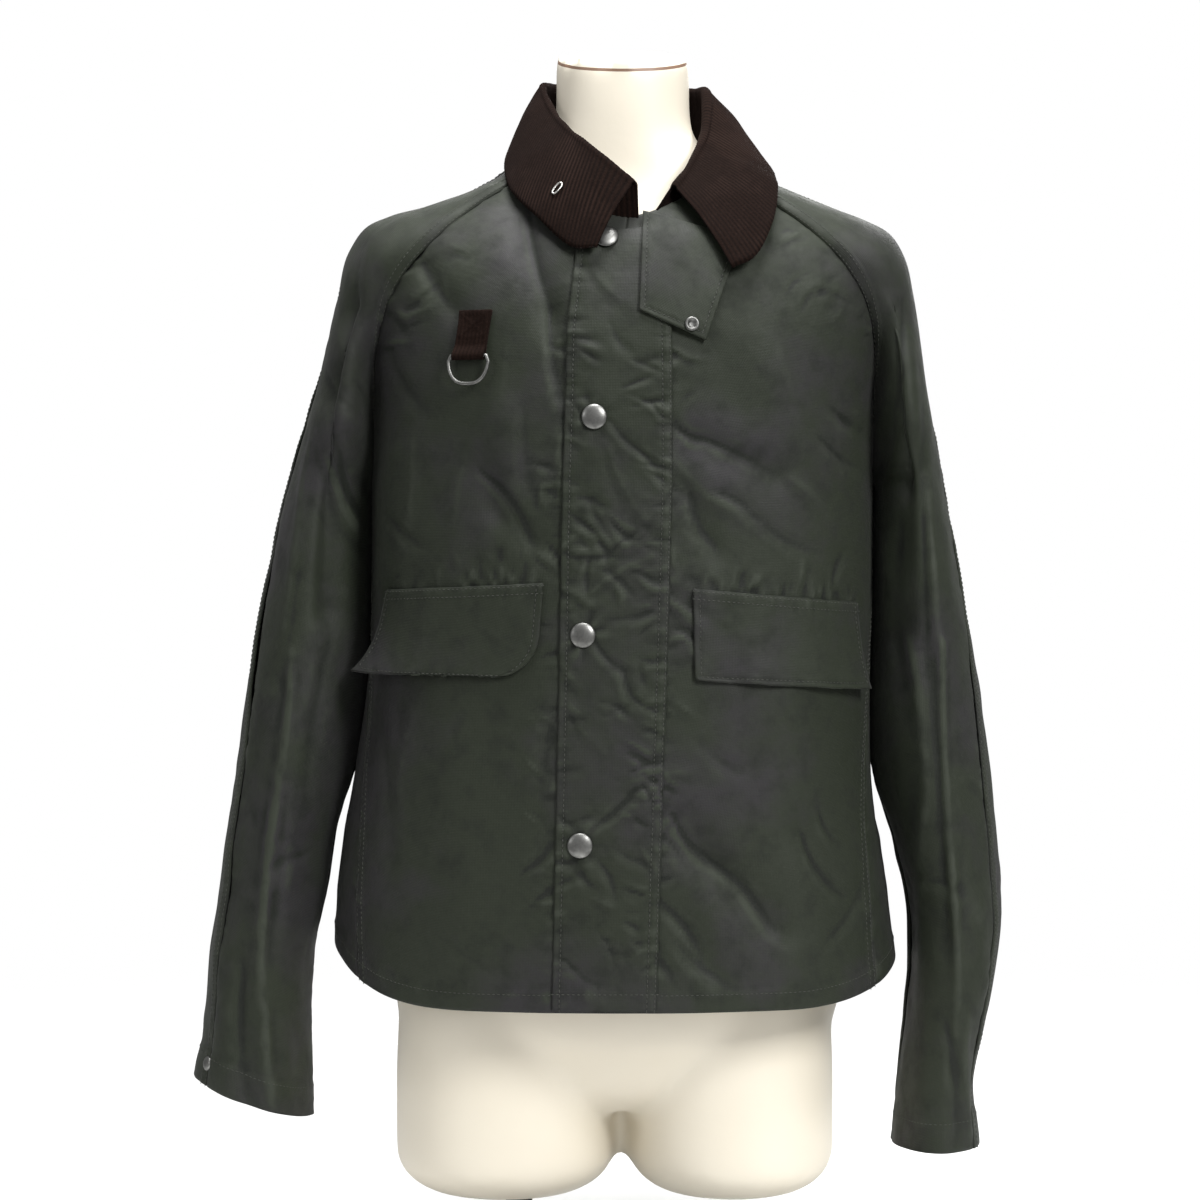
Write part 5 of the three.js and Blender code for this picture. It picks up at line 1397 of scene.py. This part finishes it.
for side in (-1, 1):
    low_right, low_left, top_right, top_left, corner_lift, flare, corner = FLAPS[side]
    word = column_of(side)
    a, b = np.meshgrid(np.linspace(0, 1, 96), np.linspace(0, 1, 54))
    height = corner / 64
    cut = (corner / 114) * (1 - np.sqrt(np.clip(1 - (np.clip(1 - b / height, 0, 1)) ** 2, 0, 1)))
    shaped = a * (1 - cut) if side < 0 else cut + a * (1 - cut)
    outer_share = 1 - shaped if side < 0 else shaped
    x, z = patch(low_right, low_left, top_right, top_left, shaped, b)
    lift = 2.5 + 1.2 * (1 - b) ** 1.5 + corner_lift * (1 - b) * outer_share**3
    middle, _ = lay_on(side, x, z, lift)
    middle[..., 0] += side * 0.9 * flare * (1 - b) ** 4 * eased((outer_share - 0.6) / 0.4)
    along, up = run_lengths(middle)
    from_top = up[-1:] - up
    edge = np.minimum(np.minimum(along, along[:, -1:] - along), up)
    seed = 200 + side
    relief = (
        crumple(along, up, seed, 0.6)
        + seam_puckers(from_top - 4, along, seed + 10, 6.5, 11, 0.7)
        + seam_puckers(edge - 4, along + up, seed + 20, 7, 6, 0.45)
        + 1.1 * waves(along + 0.15 * up, 0 * up, 15 if side < 0 else 24, seed + 30) * (1 - 0.65 * b)
        - 0.35 * bell(edge - 4.5, 1.1)
        - 0.8 * bell(from_top, 1.4)
    )
    flap, outer, normals = cloth_shell(f"flap_{word}_cloth", middle, relief, CLOTH, waxed, lift=0.9)
    line = lines_on(outer, normals, along, up)
    inner_rows = list(range(4, 50))
    lines = [line(at_row=-1.8), line(at_row=-7.4), line(at_row=4.5)[4:-4]]
    lines += [line(4.5, inner_rows), line(-4.5, inner_rows)]
    stitches = sew(f"flap_{word}_stitches", lines)
    stand_for(flap, f"flap_{word}", "waxed_cotton")


# The collar: one piece of brown needlecord, cut with a stand and a fall. The wales run from the roll
# line down to the edge, where they make it finely toothed. It is rubbed paler on the ribs.
COLLAR = [
    ((13, -99, 786), (12, -100, 803), (-17, -124, 757)),
    ((-12, -93, 793), (-12, -90, 823), (-34, -119, 757)),
    ((-38, -71, 812), (-34, -63, 843), (-60, -103, 780)),
    ((-58, -36, 829), (-48, -28, 862), (-80, -73, 802)),
    ((-64, 6, 841), (-55, 4, 884), (-85, -13, 829)),
    ((-54, 50, 842), (-48, 42, 889), (-77, 58, 831)),
    ((-28, 71, 841), (-26, 62, 890), (-48, 97, 825)),
    ((2, 77, 840), (2, 67, 890), (2, 106, 820)),
    ((32, 71, 841), (31, 62, 889), (54, 98, 825)),
    ((58, 50, 842), (54, 43, 886), (90, 59, 830)),
    ((68, 6, 841), (62, 4, 880), (107, -10, 826)),
    ((63, -36, 829), (60, -30, 846), (114, -65, 808)),
    ((45, -70, 812), (50, -58, 824), (109, -103, 776)),
    ((31, -88, 799), (43, -76, 811), (95, -122, 750)),
    ((22, -97, 788), (36, -89, 801), (79, -128, 742)),
]
seam_line, roll_line, edge_line = (curve_through([row[k] for row in COLLAR]) for k in range(3))
edge_share = np.linspace(0.001, 1, 40)
near_neck = np.full_like(edge_share, 1.99)
neck_edge = np.concatenate([fronts[-1](edge_share[::-1], near_neck), fronts[1](edge_share, near_neck)])
WALE = 3.4
STAND_END, ROLL_END = 0.35, 0.41  # shares of the way from the neck seam to the edge
ROLL_RADIUS = 2.75


def collar_surface(a, w):
    """a runs round the neck from the right front end, w from the neck seam over the roll to the edge."""
    low, top, end = seam_line(a), roll_line(a), edge_line(a)
    low[..., 2] -= 1.5
    in_front = eased((-28 - low[..., 1]) / 22)
    for k in (1, 2):
        neck = np.interp(low[..., 0], neck_edge[:, 0], neck_edge[:, k]) - (1.2 if k == 2 else 0)
        low[..., k] += (neck - low[..., k]) * in_front
    out = end - top
    out[..., 2] = 0
    out /= np.linalg.norm(out, axis=-1, keepdims=True)
    stand = low + (top - low) * (w / STAND_END)[..., None]
    turn = np.clip((w - STAND_END) / (ROLL_END - STAND_END), 0, 1) * math.pi
    roll = top + out * (ROLL_RADIUS * (1 - np.cos(turn)))[..., None]
    roll[..., 2] += ROLL_RADIUS * np.sin(turn)
    share = np.clip((w - ROLL_END) / (1 - ROLL_END), 0, 1)
    start = top + out * 2 * ROLL_RADIUS
    fall = end - start
    level = np.stack([-out[..., 1], out[..., 0], 0 * share], -1)
    raised = np.cross(fall, level)
    raised /= np.linalg.norm(raised, axis=-1, keepdims=True)
    raised *= np.sign((raised * out).sum(-1, keepdims=True))
    fallen = start + fall * share[..., None] + raised * (2.5 * np.sin(math.pi * share))[..., None]
    return np.where((w <= STAND_END)[..., None], stand, np.where((w <= ROLL_END)[..., None], roll, fallen))


def wale_points(count):
    """Shares round the collar at even lengths along the middle of the fall."""
    shares = np.linspace(0, 1, 1500)
    line = collar_surface(shares, np.full_like(shares, 0.75))
    reach = np.concatenate([[0], np.cumsum(np.linalg.norm(np.diff(line, axis=0), axis=1))])
    return np.interp(np.linspace(0, reach[-1], count), reach, shares), reach[-1]


length = wale_points(2)[1]
ribs = int(round(length / WALE))
a_values, _ = wale_points(ribs * 5 + 1)
w_values = np.concatenate(
    [
        np.linspace(0, STAND_END, 9, endpoint=False),
        np.linspace(STAND_END, ROLL_END, 7, endpoint=False),
        np.linspace(ROLL_END, 1, 24),
    ]
)
w, a = np.meshgrid(w_values, a_values)
middle = collar_surface(a, w)
up, _ = run_lengths(middle)
round_neck = np.repeat((np.linspace(0, length, len(a_values)))[:, None], len(w_values), 1)
phase = round_neck / length * ribs * 2 * math.pi
rib = (0.5 - 0.5 * np.cos(phase)) ** 0.55
from_end = np.minimum(round_neck, length - round_neck)
from_rim = up[:, -1:] - up
soft = 0.9 * waves(round_neck, up, 38, 301) + 0.4 * waves(round_neck, up, 15, 302)
relief = (
    0.32 * rib * (0.75 + 0.25 * waves(round_neck * 3, up, 9, 303))
    + 1.3 * soft * eased(up / 40)
    - 0.7 * bell(from_rim, 2.2)
    - 0.7 * bell(from_end, 2.2)
)


def corduroy(name, brown, rubbed, groove_shade):
    """Brown needlecord: painted shade darkens it between the wales, and its pile is rubbed paler on top."""
    material = plain_material(name, brown, 0.95)
    nodes, links, shader, where = tree_of(material)
    worn_and_shaded, ribs = worn_and_shaded_cloth(nodes, links, where, "pile", 22)
    tufts = noise_node(nodes, links, where, 650, 3, 0.7)
    # painted shade: the groove colour between the wales stands in for shadow
    base = mix_color(nodes, links, ribs, groove_shade, brown)
    on_top = spread_of(nodes, links, ribs, 0.5, 1, 0, 0.75)
    patchy = math_node(nodes, links, "MULTIPLY", worn_and_shaded["Patches"], on_top)
    pile = mix_color(nodes, links, patchy, base, rubbed)
    fleck = spread_of(nodes, links, tufts, 0.5, 0.8, 0, 0.5)
    links.new(mix_color(nodes, links, fleck, pile, rubbed), shader.inputs["Base Color"])
    set_inputs(shader, {"Specular IOR Level": 0.08, "Sheen Weight": 0.04, "Sheen Roughness": 0.4})
    shader.inputs["Sheen Tint"].default_value = (0.35, 0.22, 0.2, 1)
    links.new(bump_node(nodes, links, tufts, 0.6, 0.0006), shader.inputs["Normal"])
    return material


def give_pile(obj, values):
    pile = obj.data.attributes.new("pile", "FLOAT", "POINT")
    pile.data.foreach_set("value", np.clip(values, 0, 1).ravel())


brown_cord = corduroy(
    "brown corduroy",
    brown=(0.0075, 0.0034, 0.0022),
    rubbed=(0.02, 0.0108, 0.0082),
    # the groove colour is painted shade between the wales
    groove_shade=(0.003, 0.0014, 0.001),
)
collar, _, _ = cloth_shell("collar_cloth", middle[::-1], relief[::-1], 1.7, brown_cord)
give_pile(collar, rib[::-1])
stand_for(collar, "collar", "corduroy")


# The throat tab: a pointed tab of doubled cloth from under the left leaf of the collar, stitched round
# its edges, with the socket half of a press stud near its end.
a, b = np.meshgrid(np.linspace(0, 1, 54), np.linspace(0, 1, 62))
x, z = patch((13, 711), (60, 690), (16, 782), (86, 764), a, b)
# it lies over the placket, and sinks beside it
lift = 2.65 + 1.8 + 0.75 - 1.6 * eased((13 + 47 * a + 26 * b - 44) / 18)
middle, _ = lay_on(1, x, z, lift)
along, up = run_lengths(middle)
edge = np.minimum(np.minimum(along, along[:, -1:] - along), up)
relief = (
    crumple(along, up, 251, 0.55)
    + seam_puckers(edge - 3.5, along + up, 252, 6, 6, 0.45)
    + 0.7 * waves(along, up * 0.4, 14, 253) * b
    - 0.35 * bell(edge - 4, 1.1)
)
tab, outer, normals = cloth_shell("throat_tab_cloth", middle, relief, CLOTH, waxed, lift=0.9)
line = lines_on(outer, normals, along, up)
inner_rows = list(range(4, 60))
tab_stitches = sew("throat_tab_stitches", [line(at_row=4)[4:-4], line(4, inner_rows), line(-4, inner_rows)])
stand_for(tab, "throat_tab", "waxed_cotton")


# The hanging ring: a D of round wire whose straight bar lies in the fold of a short corduroy strap.
# The strap is sewn on with a boxed cross, and the ring swings in it.
RING_WIDE, RING_DEEP, RING_WIRE = 33.6, 23, 1.3  # outer sizes, and the wire's radius
STRAP_WALL = 1.4
STRAP_WIDTH = 23.4
BOX_IN = 2.5  # from the strap's edges to the sewn box
BOX_WIDE = STRAP_WIDTH - 2 * BOX_IN
BOX_TALL = 16.5
STRAP_GAP = 0.75  # between the plies, and under the strap
STRAP_RISE = 32  # from the bar to the strap's top end
LOOP = RING_WIRE + 0.7 + STRAP_WALL / 2
bar_lift = WALL / 2 + STRAP_GAP + STRAP_WALL / 2 + LOOP
BAR_X, BAR_Z = -107.0, 680.0
bar, bar_normal = spot_on(-1, BAR_X, BAR_Z, bar_lift)
bar_out = np.array([bar_normal[0], bar_normal[1], 0]) / np.hypot(bar_normal[0], bar_normal[1])
bar_along = np.array([-bar_out[1], bar_out[0], 0])
front_ply = STRAP_WALL + STRAP_GAP - LOOP
loop_turn = np.linspace(0, math.pi, 17)
climb = np.linspace(0, 1, 8)[1:]
profile = np.array(
    [(rise, -LOOP) for rise in np.linspace(STRAP_RISE, 1.5, 14)]
    + [(-LOOP * math.sin(turn), -LOOP * math.cos(turn)) for turn in loop_turn]
    + [(8 * share, LOOP + (front_ply - LOOP) * eased(share)) for share in climb]
    + [(rise, front_ply) for rise in np.linspace(9.5, STRAP_RISE, 20)]
)
side_step = np.linspace(-STRAP_WIDTH / 2, STRAP_WIDTH / 2, 41)
rise, stand_off = (np.repeat(profile[None, :, k], len(side_step), 0) for k in (0, 1))
x = BAR_X + side_step[:, None] * bar_along[0] + rise * 0.15
middle, _ = lay_on(-1, x, BAR_Z + rise, bar_lift + stand_off)
along, wide = run_lengths(middle)
rib = (0.5 - 0.5 * np.cos(wide * 2 * math.pi / 3.0)) ** 0.6
top_end = along[:, -1:] - along
over_box, down_box = wide - BOX_IN, top_end - BOX_IN
box = np.minimum(np.minimum(over_box, BOX_WIDE - over_box), np.minimum(down_box, BOX_TALL - down_box))
over_box, down_box = over_box / BOX_WIDE, down_box / BOX_TALL
cross = np.minimum(np.abs(down_box - over_box), np.abs(down_box - 1 + over_box))
inside_box = eased(box * 2 + 0.5)
relief = 0.14 * rib - 0.5 * bell(box, 0.8) - 0.45 * bell(cross, 0.06) * inside_box
strap, outer, normals = cloth_shell("ring_strap_cloth", middle, relief, 1.3, brown_cord, lift=0.65)
give_pile(strap, 0.55 + 0.3 * rib)


def on_strap(spots):
    """Points on the strap's front ply at distances (across, down from its top end)."""
    raised = outer + normals * 0.15
    points = []
    for across_it, down_it in spots:
        row = int(round(across_it / STRAP_WIDTH * (len(side_step) - 1)))
        points.append([np.interp(-down_it, -top_end[row], raised[row, :, k]) for k in range(3)])
    return np.array(points)


def straight(start, end, count=10):
    start, end = np.array(start), np.array(end)
    return [tuple(start + (end - start) * k / count) for k in range(count + 1)]


near, far, low = BOX_IN, BOX_IN + BOX_WIDE, BOX_IN + BOX_TALL
corners = [(near, near), (far, near), (far, low), (near, low)]
sewn = [on_strap(straight(corners[k], corners[(k + 1) % 4])) for k in range(4)]
sewn += [on_strap(straight(corners[0], corners[2])), on_strap(straight(corners[1], corners[3]))]
brown_thread = plain_material("brown thread", (0.075, 0.045, 0.036), 0.7)
strap_stitches = sew("ring_strap_stitches", sewn, 1.9, 0.7, 0.8, brown_thread)
stand_for(strap, "ring_strap", "corduroy")


def bent_wire(name, path, normal, radius, sides, material):
    """A closed loop of round wire along a flat path of points in millimetres."""
    path = np.asarray(path)
    tangent = np.roll(path, -1, 0) - np.roll(path, 1, 0)
    tangent /= np.linalg.norm(tangent, axis=1, keepdims=True)
    inward = np.cross(normal, tangent)
    turn = np.linspace(0, 2 * math.pi, sides + 1)[:-1]
    points = (
        path[:, None]
        + inward[:, None] * (radius * np.cos(turn))[None, :, None]
        + np.asarray(normal) * (radius * np.sin(turn))[None, :, None]
    )
    faces = ring_faces(len(path), sides, closed=True)
    obj = mesh_object(name, points.reshape(-1, 3) + (STANCE_X, 0, 0), faces)
    obj.data.materials.append(material)
    return obj


nickel = metal_material("dull nickel", (0.23, 0.23, 0.22), 0.42, 0.45)
hang = math.radians(9)
down = bar_out * math.sin(hang) + np.array([0, 0, -math.cos(hang)])
half, drop = RING_WIDE / 2 - RING_WIRE, RING_DEEP - 2 * RING_WIRE
bow = np.linspace(0.16, math.pi - 0.16, 60)
outline = [(e, 0) for e in np.linspace(-half + 2, half - 2, 18)]
outline += [(half * signed_power(math.cos(turn), 0.75), drop * math.sin(turn) ** 0.85) for turn in bow]
ring_path = [bar + bar_along * e + down * d for e, d in outline]
ring = bent_wire("d_ring_wire", ring_path, np.cross(bar_along, down), RING_WIRE, 16, nickel)
stand_for(ring, "d_ring", "fastener_metal", "ring")


# The press studs: four domed caps down the placket, a small ring-shaped socket on the throat tab and a
# small stud on the right cuff. Each is pressed from dull plated brass and clenched through the cloth.
CAP = [
    (0.02, 0), (0.9, 0), (0.985, 0.08), (1, 0.2), (0.975, 0.34), (0.93, 0.45), (0.86, 0.58), (0.77, 0.7),
    (0.65, 0.82), (0.5, 0.92), (0.34, 0.98), (0.17, 1.02), (0.02, 1.03),
]
SOCKET_RING = [
    (0.02, 0), (0.9, 0), (0.985, 0.12), (1, 0.32), (0.985, 0.58), (0.93, 0.84), (0.83, 1), (0.7, 0.98),
    (0.56, 0.8), (0.46, 0.4), (0.36, 0.2), (0.2, 0.15), (0.02, 0.15),
]


LARGE, SMALL = (9, 3.1), (5.25, 2.2)  # radius and height


def stud(name, node, place, axis, size, section):
    radius, height = size
    outline = [(radius * across_it, height * up_it) for across_it, up_it in section]
    cap = turned(name, outline, place + np.array([STANCE_X, 0, 0]), axis, 56, nickel)
    stand_for(cap, node, "fastener_metal")
    return cap


for k, (x, z) in enumerate(STUD_PLACES):
    stud(f"stud_{k + 1}_cap", f"stud_{k + 1}", *spot_on(-1, x, z, 3.6), LARGE, CAP)
stud("tab_stud_socket", "tab_stud", *spot_on(1, 50, 701, 3.9 + 2.0), SMALL, SOCKET_RING)
start = np.array([0.3]), np.array([1.85])
(place,), (axis,) = on_surface(sleeves[-1], -302, 163, *start, 1, WALL / 2 + 0.45)
stud("cuff_stud_cap", "cuff_stud", place, axis, SMALL, CAP)


# The collar hook: a small flattened bow of wire sewn on the right leaf of the collar.
start = np.array([0.12]), np.array([0.7])
(place,), (axis,) = on_surface(collar_surface, -45, 800, *start, 1, WALL / 2 + 1.6)
tilt = math.radians(60)
lean = np.array([math.cos(tilt), 0, math.sin(tilt)])
lean = lean - axis * lean.dot(axis)
lean /= np.linalg.norm(lean)
aside = np.cross(axis, lean)
turn = np.linspace(0, 2 * math.pi, 41)[:-1]
hook_path = [
    place + lean * 5 * signed_power(math.cos(t), 0.8) + aside * 2 * signed_power(math.sin(t), 0.8)
    for t in turn
]
bright = metal_material("plated hook", (0.6, 0.59, 0.56), 0.3, 0.2)
hook = bent_wire("collar_hook_wire", hook_path, axis, 0.7, 10, bright)
stand_for(hook, "collar_hook", "fastener_metal")
